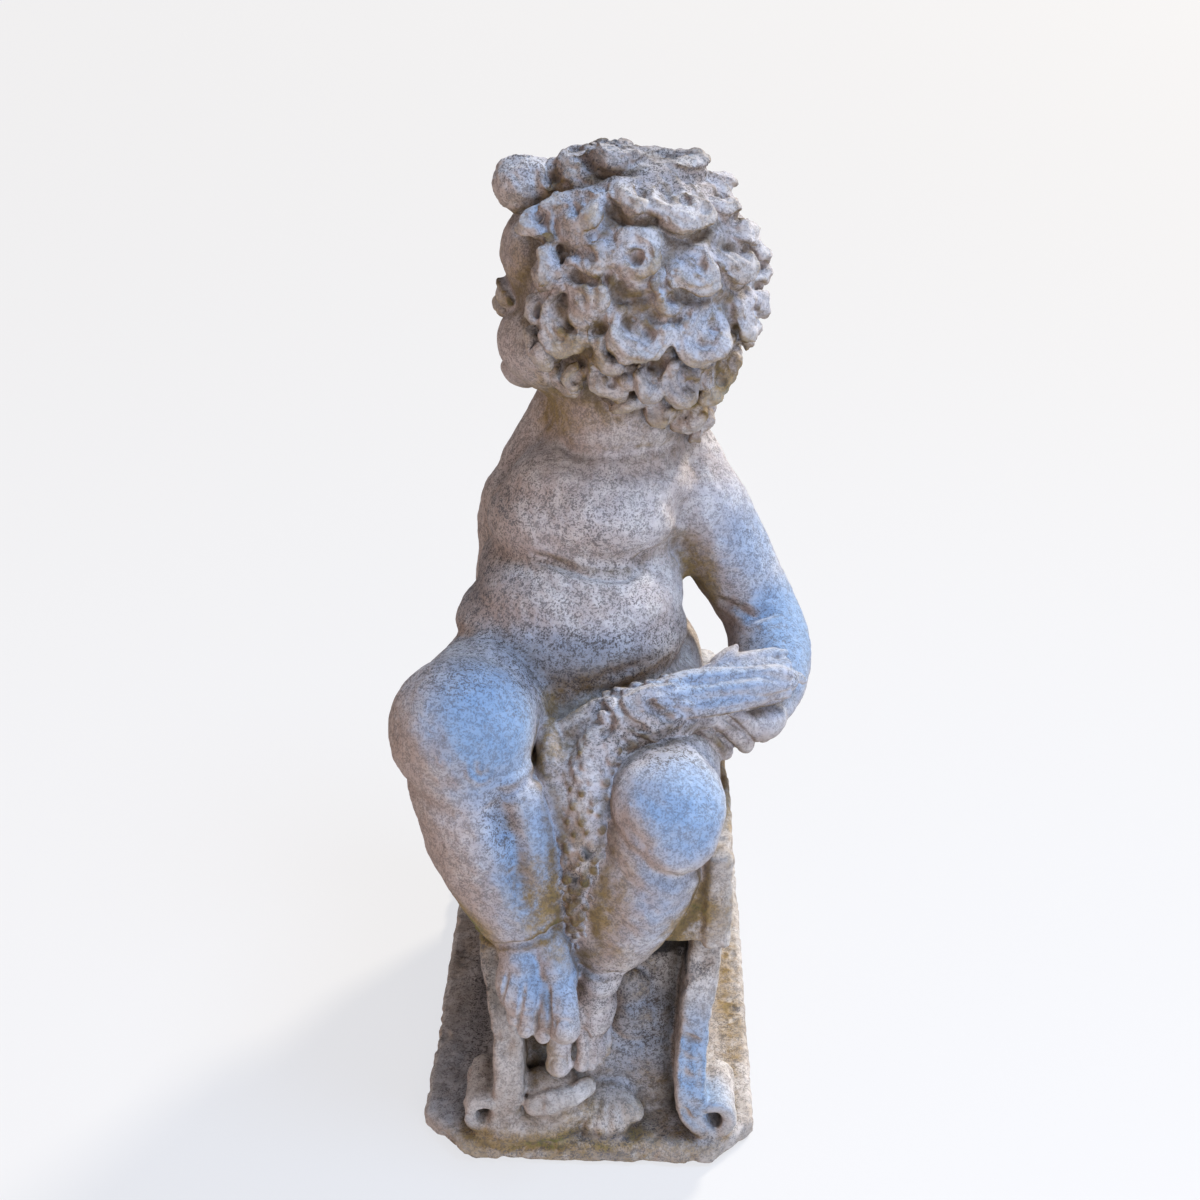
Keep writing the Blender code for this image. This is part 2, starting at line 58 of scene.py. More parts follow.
# Voxel of each melt, with the rounds of softening after it
MELT_FLESH, MELT_FACE, MELT_FIGURE = (0.0028, 36), (0.0022, 14), (0.0016, 4)
MELT_HAIR, MELT_SHEAF, MELT_STOOL = (0.0014, 7), (0.0014, 1), (0.0018, 4)
# The golden angle in degrees and in radians, by which small forms are spread evenly
GOLDEN_DEGREES, GOLDEN = 137.508, 2.39996


def metres(table):
    """Places and radii are kept in millimetres: the same nest of them in metres."""
    if isinstance(table, dict):
        return {name: metres(row) for name, row in table.items()}
    return tuple(metres(row) for row in table) if isinstance(table, tuple) else table / 1000


# ---------------------------------------------------------------- the figure's forms

# Round masses: centre, three radii, turn about Z in degrees
MASSES = {
    "pelvis": ((-16, 66, 330), (92, 84, 70), -8),
    "right buttock": ((-54, 106, 318), (56, 64, 54), 0),
    "left buttock": ((30, 110, 314), (55, 64, 52), 0),
    "belly": ((-20, 8, 384), (100, 86, 52), -8),
    "lower belly": ((-32, 2, 364), (89, 78, 42), -8),
    "waist": ((-11, 36, 424), (90, 76, 50), 0),
    "chest": ((-8, 36, 474), (84, 66, 50), 6),
    "back": ((-8, 80, 450), (80, 54, 92), 6),
    "breast": ((7, 16, 484), (62, 50, 42), 4),
    "upper chest": ((4, 34, 504), (78, 52, 38), 4),
    "upper belly": ((-12, 8, 414), (88, 72, 48), -4),
    "right shoulder": ((-61, 76, 464), (39, 42, 41), 0),
    "left shoulder": ((88, 60, 474), (38, 40, 39), 0),
    "shoulder girdle": ((16, 70, 500), (82, 50, 32), 3),
    "neck root": ((14, 66, 526), (66, 54, 36), 0),
    "nape": ((22, 86, 545), (56, 46, 52), 0),
    "right knee": ((-100, -125, 361), (59, 56, 59), 0),
    "left knee": ((60, -150, 308), (50, 47, 46), 0),
    "left kneecap": ((64, -162, 292), (41, 37, 34), 0),
    "below the left knee": ((52, -166, 262), (36, 30, 22), 0),
    "left thigh's end": ((46, -134, 308), (40, 40, 40), 0),
    "right hip": ((-60, 46, 330), (58, 80, 60), 0),
    "left hip": ((42, 50, 318), (54, 84, 56), 0),
    "throat": ((-2, 64, 572), (36, 40, 36), 0),
    "lap cloth": ((4, -82, 326), (38, 36, 34), 0),
    "heel cloth": ((-14, -158, 166), (17, 18, 24), 0),
    "cloth on the seat": ((-18, -50, 274), (76, 100, 30), 0),
}

# Limbs: (x, y, z, radius) from root to tip
LIMBS = metres({
    "neck": ((14, 62, 510, 58), (18, 60, 550, 56), (24, 58, 595, 54), (28, 58, 635, 50)),
    "right trapezius": ((8, 80, 598, 34), (-18, 86, 548, 36), (-50, 84, 492, 36)),
    "left trapezius": ((42, 78, 586, 32), (56, 78, 538, 33), (80, 68, 496, 34)),
    "right thigh": ((-56, 70, 312, 56), (-70, 0, 328, 60), (-87, -70, 347, 58), (-99, -120, 358, 55)),
    "left thigh": ((28, 70, 302, 52), (43, 0, 312, 55), (56, -80, 307, 50), (60, -146, 309, 45)),
    "right shin": ((-98, -130, 340, 49), (-96, -136, 316, 47), (-87, -141, 293, 49), (-79, -146, 271, 50),
                   (-67, -155, 240, 44), (-52, -163, 207, 36), (-42, -168, 186, 29)),
    "left shin": ((56, -156, 300, 41), (53, -156, 268, 40), (45, -157, 238, 42), (28, -160, 195, 34),
                  (11, -160, 165, 25), (3, -161, 143, 21)),
    "inner calf": ((-60, -148, 330, 20), (-48, -157, 298, 24), (-39, -160, 262, 26), (-33, -162, 230, 24),
                   (-32, -164, 204, 20)),
    "left inner calf": ((38, -142, 300, 28), (31, -150, 268, 33), (21, -156, 238, 34), (10, -161, 205, 28),
                        (4, -162, 176, 21)),
    "left upper arm": ((89, 60, 476, 39), (107, 57, 440, 39), (128, 54, 402, 36), (145, 48, 372, 34)),
    "left forearm": ((146, 48, 371, 34), (151, 18, 357, 36), (153, -16, 345, 30), (148, -42, 335, 21)),
    "right upper arm": ((-62, 78, 466, 39), (-70, 102, 430, 38), (-77, 124, 392, 33)),
    "right forearm": ((-77, 126, 390, 33), (-82, 134, 356, 33), (-86, 138, 322, 26), (-86, 140, 302, 20)),
})

# Hands: palms as (place, radii); fingers from the root to the tip, as (x, y, z, radius)
LEFT_HAND = metres((((136, -58, 334), (26, 26, 18)), ((112, -70, 338), (24, 22, 18))))
LEFT_FINGERS = metres((((109, -89, 361, 6.2), (124, -85, 349, 6.8), (142, -66, 322, 7.4)),
                       ((94, -93, 359, 6.2), (110, -91, 344, 6.8), (127, -73, 316, 7.4)),
                       ((82, -96, 353, 6), (95, -95, 338, 6.6), (110, -79, 313, 7.2)),
                       ((72, -98, 343, 5.4), (82, -97, 332, 6), (94, -85, 312, 6.6))))
RIGHT_HAND = metres((((-86, 146, 287), (26, 26, 15)),))
RIGHT_FINGERS = metres(tuple(((x, 150, 287, 7.4), (x, 167, 282, 7.2), (x, 174.5, 264, 6.6))
                             for x in (-106, -92.5, -79, -65.5)))
RIGHT_THUMB = metres(((-72, 138, 288, 8), (-62, 146, 284, 7.8), (-56, 158, 280, 6.8)))

# Feet: ankle, direction to the toes, side that the big toe is on, length to the roots of the toes, width
FEET = {
    "right foot": ((-0.042, -0.170, 0.180), (0.10, -0.72, -0.69), (0.95, 0.25, -0.10), 0.054, 0.070),
    "left foot": ((0.003, -0.160, 0.140), (-0.14, -0.42, -0.90), (-0.95, -0.25, 0.20), 0.050, 0.048),
}
TOE_BONE, BIG_TOE_BONE = 0.0080, 0.0118
# Swellings of the insteps, as (place, radii)
INSTEPS = metres({
    "right foot": (((-31, -184, 190), (19, 17, 21)), ((-55, -180, 188), (19, 16, 20)),
                   ((-26, -191, 179), (15.5, 15.5, 23)), ((-50, -190, 176), (22, 14.5, 23))),
    "left foot": (((2, -166, 136), (20, 16, 22)),),
})
# Toes from the big one outwards: root, joint, tip, radius; one thicker than NAIL_FROM has a raised nail
NAIL_FROM = 0.012
TOES = metres({
    "right foot": (((-22, -198, 166), (-18, -211, 152), (-17, -216.5, 137), 13.4),
                   ((-32, -200, 164), (-32, -212, 148), (-35, -211, 124), 7.2),
                   ((-44, -199, 165), (-46, -211, 151), (-49, -210, 128), 6.8),
                   ((-55, -195, 168), (-58, -207, 154), (-59, -206, 137), 6.1),
                   ((-64, -189, 175), (-68, -197, 166), (-67, -199, 155), 5.6)),
    "left foot": (((-20, -176, 112), (-23, -187, 91), (-24, -190, 73), 11.4),
                  ((-5, -180, 108), (-3, -191, 93), (-5, -192, 73), 6),
                  ((3, -175, 104), (5, -186, 90), (3, -187, 69), 5.3),
                  ((9, -169, 100), (12, -180, 86), (10, -180, 68), 4.8),
                  ((14, -162, 98), (17, -172, 84), (15, -172, 69), 4.4)),
})

# Creases carved into the flesh: points near the surface, depth and half width in mm, how much the sides swell
CREASES = (
    (((-48, -10, 462), (-32, -22, 456), (-4, -35, 452), (25, -35, 453), (46, -20, 456), (60, -8, 460)),
     4.2, 3.6, 0.25),  # under the breasts
    (((-75, -55, 372), (-52, -70, 364), (-25, -85, 364), (0, -90, 370), (31, -85, 380), (64, -58, 384)),
     2.2, 5.0, 0.10),  # under the belly
    (((66, 4, 474), (70, 16, 450), (78, 22, 424), (86, 30, 396)), 3.0, 5.0, 0.0),
    (((-70, 30, 494), (-80, 44, 466), (-86, 56, 436)), 2.4, 5.0, 0.20),  # right armpit
    # ring round the neck
    (((-36, 30, 545), (-16, 15, 538), (12, 6, 539), (44, 10, 541), (70, 36, 540)), 2.2, 4.0, 0.40),
    (((-30, 24, 520), (0, 6, 522), (34, 4, 520), (66, 28, 520)), 1.2, 6.0, 0.3),
    (((120, 20, 396), (112, 30, 398), (132, 10, 392), (158, 16, 392)), 3.0, 4.0, 0.40),
    (((134, -62, 352), (130, -50, 330), (150, -40, 318)), 2.6, 3.0, 0.40),  # left wrist
    (((-108, 128, 306), (-90, 162, 304), (-66, 142, 304)), 2.0, 3.0, 0.40),  # right wrist
    # beside the right shin
    (((-66, -176, 332), (-58, -184, 306), (-52, -190, 276), (-46, -193, 246)), 4.4, 6.5, 0.25),
    (((-76, -176, 326), (-68, -182, 312), (-64, -184, 296)), 5.0, 8.0, 0.10),  # hollow under the knee
    (((-62, -186, 272), (-56, -190, 256), (-52, -192, 240)), 3.0, 7.0, 0.10),
    (((-150, -130, 330), (-128, -168, 324), (-100, -183, 318)), 2.2, 6.0, 0.30),  # right knee
    (((-66, -174, 330), (-52, -162, 330), (-40, -140, 332)), 4.0, 4.0, 0.35),
    # dimple of the knee
    (((-83, -177, 366), (-84, -180, 356), (-78, -181, 350), (-73, -178, 358)), 1.6, 2.4, 0.50),
    (((12, -150, 336), (14, -170, 312), (23, -183, 300), (40, -193, 288), (62, -192, 272), (88, -176, 264),
     (104, -150, 266)), 3.6, 5.5, 0.20),  # under left knee
    (((20, -176, 318), (34, -192, 308), (46, -200, 296)), 2.2, 6.0, 0.20),
    (((36, -176, 346), (62, -192, 334), (94, -176, 328)), 1.2, 7.0, 0.30),
    (((-74, -176, 198), (-62, -188, 202), (-48, -196, 206), (-36, -196, 210), (-24, -190, 214),
     (-14, -172, 214)), 3.2, 2.2, 0.25),  # right ankle
    (((-14, -168, 172), (2, -182, 166), (16, -184, 165), (30, -170, 170)), 2.8, 2.2, 0.25),  # left ankle
    (((12, 118, 530), (-4, 134, 470), (-12, 128, 400), (-13, 148, 356)), 4.0, 8.0, 0.25),  # spine
    (((-13, 152, 352), (-12, 172, 322), (-12, 160, 284)), 7.0, 5.0, 0.40),  # cleft
    (((-104, 10, 372), (-108, -20, 384), (-94, -50, 390)), 2.2, 5.0, 0.20),  # right groin
    (((56, 130, 270), (30, 160, 276), (-40, 158, 276), (-90, 120, 276)), 2.0, 5.0, 0.0),
)

# ---------------------------------------------------------------- head and hair

HEAD = np.array((0.024, 0.058, 0.662))
FACING, THROWN_BACK = 163, 3
SKULL = np.array((0.092, 0.079, 0.097))
SKULL_MM = 90.0
# A calm child's face, in the head's own front, left and up: place and radii; pairs are mirrored
FACE_SOFT = (
    ((44, 0, 22), (60, 62, 52), False),  # forehead
    ((50, 33, -44), (45, 34, 38), True),  # cheeks
    ((66, 0, -50), (36, 36, 30), False),  # muzzle
    ((40, 0, -62), (56, 50, 36), False),  # jaw
    ((82, 0, -80), (22, 23, 18), False),  # chin
    ((20, 0, -86), (44, 40, 24), False),  # double chin
)
FACE_CRISP = (
    ((89, 0, -10), (12, 8.5, 24), False),  # bridge of the nose
    ((103.5, 0, -30), (10.5, 9.5, 8.8), False),  # its tip
    ((98.5, 9.5, -32), (8.5, 6.2, 6.2), True),  # its wings
    ((85.5, 29, -10.5), (13, 14, 12), True),  # eyeballs
    ((91.5, 0, -66.5), (11, 12.5, 6.5), False),  # lower lip
    ((92.5, 6.2, -56.5), (10, 8.5, 5.2), True),  # upper lip
)
# Lids: arcs across the face as (left, up, forward), with the radius
EYE_ARCS = metres((((12.5, -13, 87.5), (20, -3.5, 96.5), (30, -1, 97), (40, -5, 89), (44.5, -11.5, 80),
                    2.6),
                   ((12.5, -13.5, 87.5), (21, -19, 93.5), (31, -20, 93.5), (44, -12.5, 80.5), 2)))
# Creases of the face: path, depth, width, swell, and whether it is one of a pair
FACE_CREASES = (
    (((100, -18, -60.5), (106, -6, -60.8), (105.5, 0, -61.5), (106, 6, -60.8), (100, 18, -60.5)),
     2.6, 1.7, 0.25, False),  # between the lips
    (((108, 0, -42), (106, 0, -52)), 1.2, 2.4, 0.3, False),  # philtrum
    (((98, -10, -74.5), (99, 0, -75.2), (98, 10, -74.5)), 1.8, 3.4, 0.2, False),  # above the chin
    (((99, 15, -34), (96, 21, -46), (92, 25, -56)), 1.3, 3.2, 0.4, True),  # beside the mouth
    (((108, 5.2, -38.5), (107.5, 6.5, -38.8)), 2.2, 1.6, 0.0, True),  # nostrils
    (((96, 12, 3), (96, 27, 6), (86, 44, -1)), 2.0, 5.5, 0.45, True),  # under the brows
)
FORELOCK = metres(((82, 18, 75), 26.2))
# Locks on the left of the head, and again mirrored on its right: latitude, longitude from the face, reach in
# mm, angle they wind from and to (0 is towards the back, 90 up), radius in mm
LOCKS = (
    (66, 40, 18, -100, -350, 8.6), (42, 74, 16, -116, -400, 9.0), (35, 55, 10, 154, 326, 6.4),
    (53, 109, 11, 72, 285, 7.8), (49, 138, 14.5, 100, 416, 8.6), (72, 179, 13.5, 113, -200, 8.6),
    (37, 174, 13, 27, -150, 7.6), (24, 166, 14, 119, 353, 7.8), (26, 108, 14, -143, -416, 9.0),
    (24, 138, 12, 140, 464, 7.2), (10, 88, 15, 150, -20, 7.2), (-2, 80, 14, 118, 404, 8.6),
    (-1, 114, 15, 133, 401, 8.8), (-1, 144, 16, 142, 387, 9.0), (3, 173, 12, 161, 390, 7.0),
    (-25, 101, 11, 116, 329, 7.8), (-28, 82, 6, 90, 270, 6.4), (-24, 119, 10, 104, 318, 7.0),
    (-26, 139, 13, 115, 316, 7.6), (-28, 164, 12, 145, 337, 7.6), (-46, 136, 11, 155, 348, 6.8),
    (-48, 110, 10, 20, 200, 6.2), (78, 75, 13, 125, 380, 8.4), (66, 14, 16, 200, -60, 8.0),
    (-50, 164, 12, 200, 20, 7.0), (-10, 188, 14, 40, 300, 8.0), (48, 178, 13, 141, -170, 8.2),
    (16, 192, 14, 130, -120, 8.0), (17, 64, 9, 160, -80, 7.0), (26, 88, 9, 200, -40, 7.0),
    (-14, 66, 9, 120, 340, 6.8), (0, 66, 8, 60, 300, 6.6), (-12, 100, 9, 100, 320, 6.6),
    (12, 124, 9, 60, 260, 6.6),
)
# Wisps are small locks; their reach and radius are in mm too
LOCK_LIFT, WISPS, WISP_REACH, WISP_TUBE, WISP_LIFT = 0.0128, 84, 8.5, 5.6, 0.0050
# Locks below these two angles have a twin on the right; those under CLUMP_FOOT have no clump and no dints
TWIN_LONGITUDE, TWIN_LATITUDE, CLUMP_FOOT, CLUMP_HEIGHT = 176, 70, -40, 0.0172
# Depths in mm of the dints' pits and undercuts, with their width
PIT, UNDERCUT, CROWN_UNDERCUT, DINT_WIDTH, DINT_SWELL = 5.6, 4.8, 2.4, 3.2, 0.15
# No wisp grows nearer to the face than HAIRLINE, unless it is above HAIR_TOP, nor below HAIR_FOOT
HAIRLINE, HAIR_TOP, HAIR_FOOT = 64, 56, -54
# Rows of curls round the nape: middle, distance from it, height, first and last longitude, number, radius
NAPE = (((0.030, 0.060), 0.060, 0.578, 128, 242, 5, 0.022),
        ((0.030, 0.062), 0.057, 0.560, 154, 206, 3, 0.018))
NAPE_TUBE = 0.0090
# Waves that bend the hair along x, y and z, as (length, seed), and how far
BENDS = ((0.040, 71), (0.036, 72), (0.044, 73))
FINE_BENDS = ((0.022, 74), (0.022, 75), (0.022, 76))
BEND = 0.0018

# ---------------------------------------------------------------- sheaf, garland, cloth, ledge

SHEAF = metres(((16, -106, 358, 21), (44, -100, 361, 25), (90, -84, 368, 24), (135, -67, 371, 21),
                (158, -57, 370, 17)))
STALKS, GRAINS = 8, 44
# Ears and leaves at the sheaf's near end, and points at its far end: lines of (x, y, z, radius)
EARS = metres((((52, -106, 378, 9), (30, -114, 372, 12), (14, -116, 363, 9)),
               ((54, -112, 356, 9), (32, -122, 348, 12), (18, -122, 340, 8)),
               ((40, -110, 364, 7), (22, -122, 357, 9), (8, -122, 351, 6)),
               ((74, -106, 357, 7), (54, -118, 347, 9), (42, -122, 338, 6)),
               ((64, -102, 386, 6), (44, -109, 384, 9), (24, -112, 377, 5)),
               ((70, -112, 366, 6), (48, -122, 359, 9), (28, -126, 351, 5)),
               ((92, -98, 362, 5), (74, -108, 352, 8), (60, -112, 343, 5))))
LEAVES = metres((((28, -100, 372, 7), (6, -102, 364, 9), (-16, -106, 352, 8), (-34, -110, 340, 3)),
                 ((10, -108, 360, 8), (-10, -112, 348, 9), (-30, -118, 336, 3)),
                 ((10, -118, 350, 7), (-8, -124, 339, 8), (-22, -128, 328, 3)),
                 ((98, -68, 380, 8), (109, -58, 390, 7), (117, -51, 396, 3)),
                 ((116, -60, 386, 8), (140, -50, 388, 6), (158, -40, 385, 3)),
                 ((148, -60, 372, 8), (166, -50, 368, 6), (174, -46, 362, 3))))
# Cuts between the leaves of the sheaf's near half
LEAF_CUTS = (
    (((6, -104, 374), (18, -122, 368), (10, -130, 354)), 4.2, 2.6, 0.35),
    (((20, -108, 382), (32, -124, 370), (50, -127, 359)), 3.6, 2.6, 0.35),
    (((44, -104, 386), (50, -120, 378), (70, -122, 368)), 4.2, 2.8, 0.35),
    (((30, -129, 362), (44, -130, 354), (52, -124, 346)), 3.4, 2.4, 0.35),
)
GARLAND = metres(((17, -105, 360, 10), (10, -120, 346, 19), (4, -138, 324, 24), (-1, -152, 285, 26),
                  (-5, -162, 246, 21), (-5, -168, 212, 14), (-2, -168, 190, 9)))
FLOWERS, FLOWER_SIZE = 230, 0.0070
CLOTH = metres(((-14, -104, 322, 32), (-18, -126, 304, 38), (-14, -140, 266, 36), (-9, -148, 226, 29),
                (-4, -152, 200, 22)))
FOLDS = metres((((-34, -104, 350, 9), (-30, -124, 338, 12.5), (-26, -141, 308, 14.5), (-21, -152, 270, 14),
                 (-16, -161, 232, 11), (-11, -168, 206, 7)),))
# A tongue of stone under the left foot
LEDGE = metres(((-44, -203, 38, 9.5), (-34, -203, 41, 11), (-22, -202, 44, 8.8), (-10, -198, 46, 8.4),
                (0, -190, 49, 8.4)))
# Lumps of stone under the ledge, and a knob behind the left foot, as (place, radii)
ROCKS = metres((((-50, -190, 6), (48, 22, 21)), ((-26, -187, 22), (30, 18, 24)),
                ((-32, -182, 43), (26, 17, 12))))
KNOB = metres((((35, -136, 108), (20, 14, 24)), ((38, -146, 80), (22, 12, 24))))

# ---------------------------------------------------------------- stool

SEAT_X, SEAT_HALF, SEAT_FRONT, SEAT_BACK, SEAT_LOW, SEAT_TOP = 0.010, 0.104, -0.165, 0.165, 0.182, 0.272
BODY_BACK = 0.140
# The stool's body between its legs, at rising levels: height, front, half width
BODY = metres(((-10, -168, 80), (30, -166, 80), (70, -156, 80), (110, -142, 82), (145, -130, 85),
               (165, -124, 87), (192, -122, 88)))
LEG_FRONT, LEG_DEPTH, LEG_LEAN = -0.203, 0.056, 0.36
# Leg seen from the front, from the seat to the eye of its volute: (away from the middle, height, radius)
LEG = metres(((88, 186, 15), (85, 152, 15.5), (80, 118, 15), (77, 85, 14.5), (76, 52, 14.5), (79, 28, 14),
              (87, 12, 11.5), (97, 7, 9), (106, 13, 7.8), (109, 24, 7.4), (105, 34, 7), (97, 37, 6.4),
              (90, 34, 5.6)))
SHELL_ROOT, SHELL_LIP, SHELL_RIBS, SHELL_SPREAD = (0.017, -0.174, 0.022), (0.015, -0.192, 0.000), 5, 0.0098
# Grooves between the shell's ribs
SHELL_GROOVES = (
    (((9, -186, 28), (6, -198, 16), (4, -204, 4)), 1.4, 2.6, 0.30),
    (((18, -186, 30), (17, -199, 16), (16, -206, 3)), 1.4, 2.6, 0.30),
    (((28, -184, 28), (28, -196, 16), (28, -204, 4)), 1.4, 2.6, 0.30),
)

# ---------------------------------------------------------------- surfaces worked out with numpy

def smooth_path(points, steps=6):
    """Catmull-Rom curve: a cubic for each span, whose slope at a point is half its neighbours' chord."""
    rows = np.asarray(points, dtype=float)
    rows = np.vstack([2 * rows[0] - rows[1], rows, 2 * rows[-1] - rows[-2]])
    t = np.linspace(0.0, 1.0, steps, endpoint=False)[:, None, None]
    a, b, c, d = rows[:-3], rows[1:-2], rows[2:-1], rows[3:]
    spans = 0.5 * (2 * b + (c - a) * t + (2 * a - 5 * b + 4 * c - d) * t**2 + (3 * b - a - 3 * c + d) * t**3)
    return np.vstack([spans.transpose(1, 0, 2).reshape(-1, rows.shape[1]), rows[-2:-1]])


def rounded(line):
    """Adds a dome past each end: at angle a it lies radius sin a further out and has radius cos a."""
    angles = np.radians((28.0, 52.0, 72.0, 86.0))[:, None]

    def dome(end, before):
        way = (end[:3] - before[:3]) / np.linalg.norm(end[:3] - before[:3])
        return np.hstack([end[:3] + way * end[3] * np.sin(angles), end[3] * np.cos(angles)])
    return np.vstack([dome(line[0], line[1])[::-1], line, dome(line[-1], line[-2])])


def closed_skin(rings, first, last):
    """Two triangles for each cell of n rings by m points, and a fan to one point at each end."""
    n, m = rings.shape[:2]
    i, j = np.arange(n - 1)[:, None] * m, np.arange(m)[None]
    k = (j + 1) % m
    a, b, c, d = i + j, i + k, i + m + k, i + m + j
    near, far, top = j[0], k[0], (n - 1) * m
    faces = [np.stack(t, -1).reshape(-1, 3) for t in (
        (a, b, c), (a, c, d), (far, near, np.full(m, n * m)), (top + near, top + far, np.full(m, n * m + 1)))]
    return np.vstack([rings.reshape(-1, 3), first, last]), np.vstack(faces)


def sweep(line, sides=20, wide=1.0, thick=1.0, up=None, grooves=0, depth=0.0):
    """Rings round a line of (x, y, z, radius): at angle a a ring reaches radius times wide cos a to the side
    and thick sin a up, less depth times (1 + cos(grooves a)) / 2 where strands are cut."""
    place, radius = line[:, :3], line[:, 3]
    along = np.gradient(place, axis=0)
    along /= np.linalg.norm(along, axis=1)[:, None]
    if up is None:
        up = np.eye(3)[np.argmin(np.abs(place[-1] - place[0]))]
    side = np.cross(along, up)
    side /= np.linalg.norm(side, axis=1)[:, None]
    up = np.cross(side, along)
    angle = np.linspace(0, 2 * math.pi, sides, endpoint=False)
    reach = radius[:, None] * (1 - depth * (1 + np.cos(grooves * angle)) / 2)
    rings = (place[:, None] + side[:, None] * (reach * wide * np.cos(angle))[..., None]
             + up[:, None] * (reach * thick * np.sin(angle))[..., None])
    return closed_skin(rings[:, ::-1], place[0], place[-1])


def limb(points, **shape):
    return sweep(rounded(smooth_path(points)), **shape)


def ball(place, radii, turn=None, sides=28):
    """Ellipsoid: latitude from pole to pole by longitude, times the radii, turned by a matrix of columns."""
    lat = np.radians(np.linspace(-84, 84, sides // 2))[:, None]
    lon = np.linspace(0, 2 * math.pi, sides, endpoint=False)[None]
    unit = np.stack([np.cos(lat) * np.cos(lon), np.cos(lat) * np.sin(lon), np.sin(lat) + 0 * lon], -1)
    poles = np.array(((0, 0, -1.0), (0, 0, 1.0)))
    turn = np.eye(3) if turn is None else turn
    grid, poles = (unit * radii) @ turn.T + place, (poles * radii) @ turn.T + place
    return closed_skin(grid, poles[0], poles[1])


def about_z(degrees):
    c, s = math.cos(math.radians(degrees)), math.sin(math.radians(degrees))
    return np.array(((c, -s, 0), (s, c, 0), (0, 0, 1.0)))


def slab(x0, x1, y0, y1, z0, z1, front=0.0, back=0.0, edge=0.003):
    """Prism over a rectangle with its front and back corners cut, its upper and lower edges drawn in."""
    outline = np.array(((x0 + front, y0), (x1 - front, y0), (x1, y0 + front), (x1, y1 - back),
                        (x1 - back, y1), (x0 + back, y1), (x0, y1 - back), (x0, y0 + front)))
    middle = np.array(((x0 + x1) / 2, (y0 + y1) / 2))
    rings = []
    for z, inset in ((z0, edge), (z0 + edge, 0.0), (z1 - edge, 0.0), (z1, edge)):
        shrink = 1 - inset / np.array(((x1 - x0) / 2, (y1 - y0) / 2))
        rings.append(np.hstack([middle + (outline - middle) * shrink, np.full((8, 1), z)]))
    return closed_skin(np.array(rings), (*middle, z0), (*middle, z1))


def axes_of(front, left):
    """Columns front, left squared up against it, and up."""
    front = np.array(front) / np.linalg.norm(front)
    up = np.cross(front, left)
    up /= np.linalg.norm(up)
    return np.stack([front, np.cross(up, front), up], 1)


TURN, TILT = math.radians(FACING), math.radians(THROWN_BACK)
HEAD_AXES = axes_of((math.cos(TURN) * math.cos(TILT), math.sin(TURN) * math.cos(TILT), math.sin(TILT)),
                    (-math.sin(TURN), math.cos(TURN), 0.0))


def on_head(points):
    """Points given as front, left and up from the middle of the head."""
    return HEAD + np.asarray(points) @ HEAD_AXES.T


def mirrored(forms):
    """Each (place, radii, pair), and again on the other side where it is one of a pair."""
    for place, radii, pair in forms:
        front, left, up = metres(place)
        for side in ((1, -1) if pair else (1,)):
            yield (front, side * left, up), metres(radii)


# ---------------------------------------------------------------- meshes

def to_mesh(name, parts):
    """One mesh from many (points, triangles), put in as whole arrays."""
    offsets = np.cumsum([0] + [len(p) for p, _ in parts[:-1]])
    points = np.vstack([p for p, _ in parts])
    faces = np.vstack([t + o for (_, t), o in zip(parts, offsets)]).astype(np.int32)
    mesh = bpy.data.meshes.new(name)
    mesh.vertices.add(len(points))
    mesh.vertices.foreach_set("co", points.astype(np.float32).ravel())
    mesh.loops.add(faces.size)
    mesh.loops.foreach_set("vertex_index", faces.ravel())
    mesh.polygons.add(len(faces))
    mesh.polygons.foreach_set("loop_start", np.arange(0, faces.size, 3, dtype=np.int32))
    mesh.polygons.foreach_set("loop_total", np.full(len(faces), 3, dtype=np.int32))
    mesh.update(calc_edges=True)
    return mesh


def new_piece(name, mesh):
    piece = bpy.data.objects.new(name, mesh)
    bpy.context.scene.collection.objects.link(piece)
    return piece


def bake_modifiers(piece):
    """The evaluated mesh becomes the piece's own, with no modifier left."""
    view = bpy.context.evaluated_depsgraph_get()
    view.update()
    made = bpy.data.meshes.new_from_object(piece.evaluated_get(view))
    old = piece.data
    piece.modifiers.clear()
    piece.data = made
    bpy.data.meshes.remove(old)


def melt(piece, voxel, rounds):
    """Joins all the closed forms of a piece on a voxel grid, and softens their seams."""
    remesh = piece.modifiers.new("melt", "REMESH")
    remesh.mode = "VOXEL"
    remesh.voxel_size = voxel
    if rounds:
        soften = piece.modifiers.new("soften", "SMOOTH")
        soften.factor = 0.5
        soften.iterations = rounds
    bake_modifiers(piece)
    keep_main_shell(piece.data)


def keep_main_shell(mesh):
    """Every point takes the lowest number among its neighbours until nothing changes, so that each shell has
    one number; the points of all shells but the largest are deleted."""
    ends = np.empty(len(mesh.edges) * 2, dtype=np.int32)
    mesh.edges.foreach_get("vertices", ends)
    first, second = ends.reshape(-1, 2).T
    shell_of, lowest = None, np.arange(len(mesh.vertices))
    while shell_of is None or (lowest != shell_of).any():
        shell_of = lowest
        lowest = shell_of.copy()
        np.minimum.at(lowest, first, shell_of[second])
        np.minimum.at(lowest, second, shell_of[first])
        lowest = lowest[lowest]
    main = np.bincount(shell_of).argmax()
    if (shell_of == main).all():
        return
    work = bmesh.new()
    work.from_mesh(mesh)
    stray = [point for point, number in zip(work.verts, shell_of) if number != main]
    bmesh.ops.delete(work, geom=stray, context="VERTS")
    work.to_mesh(mesh)
    work.free()


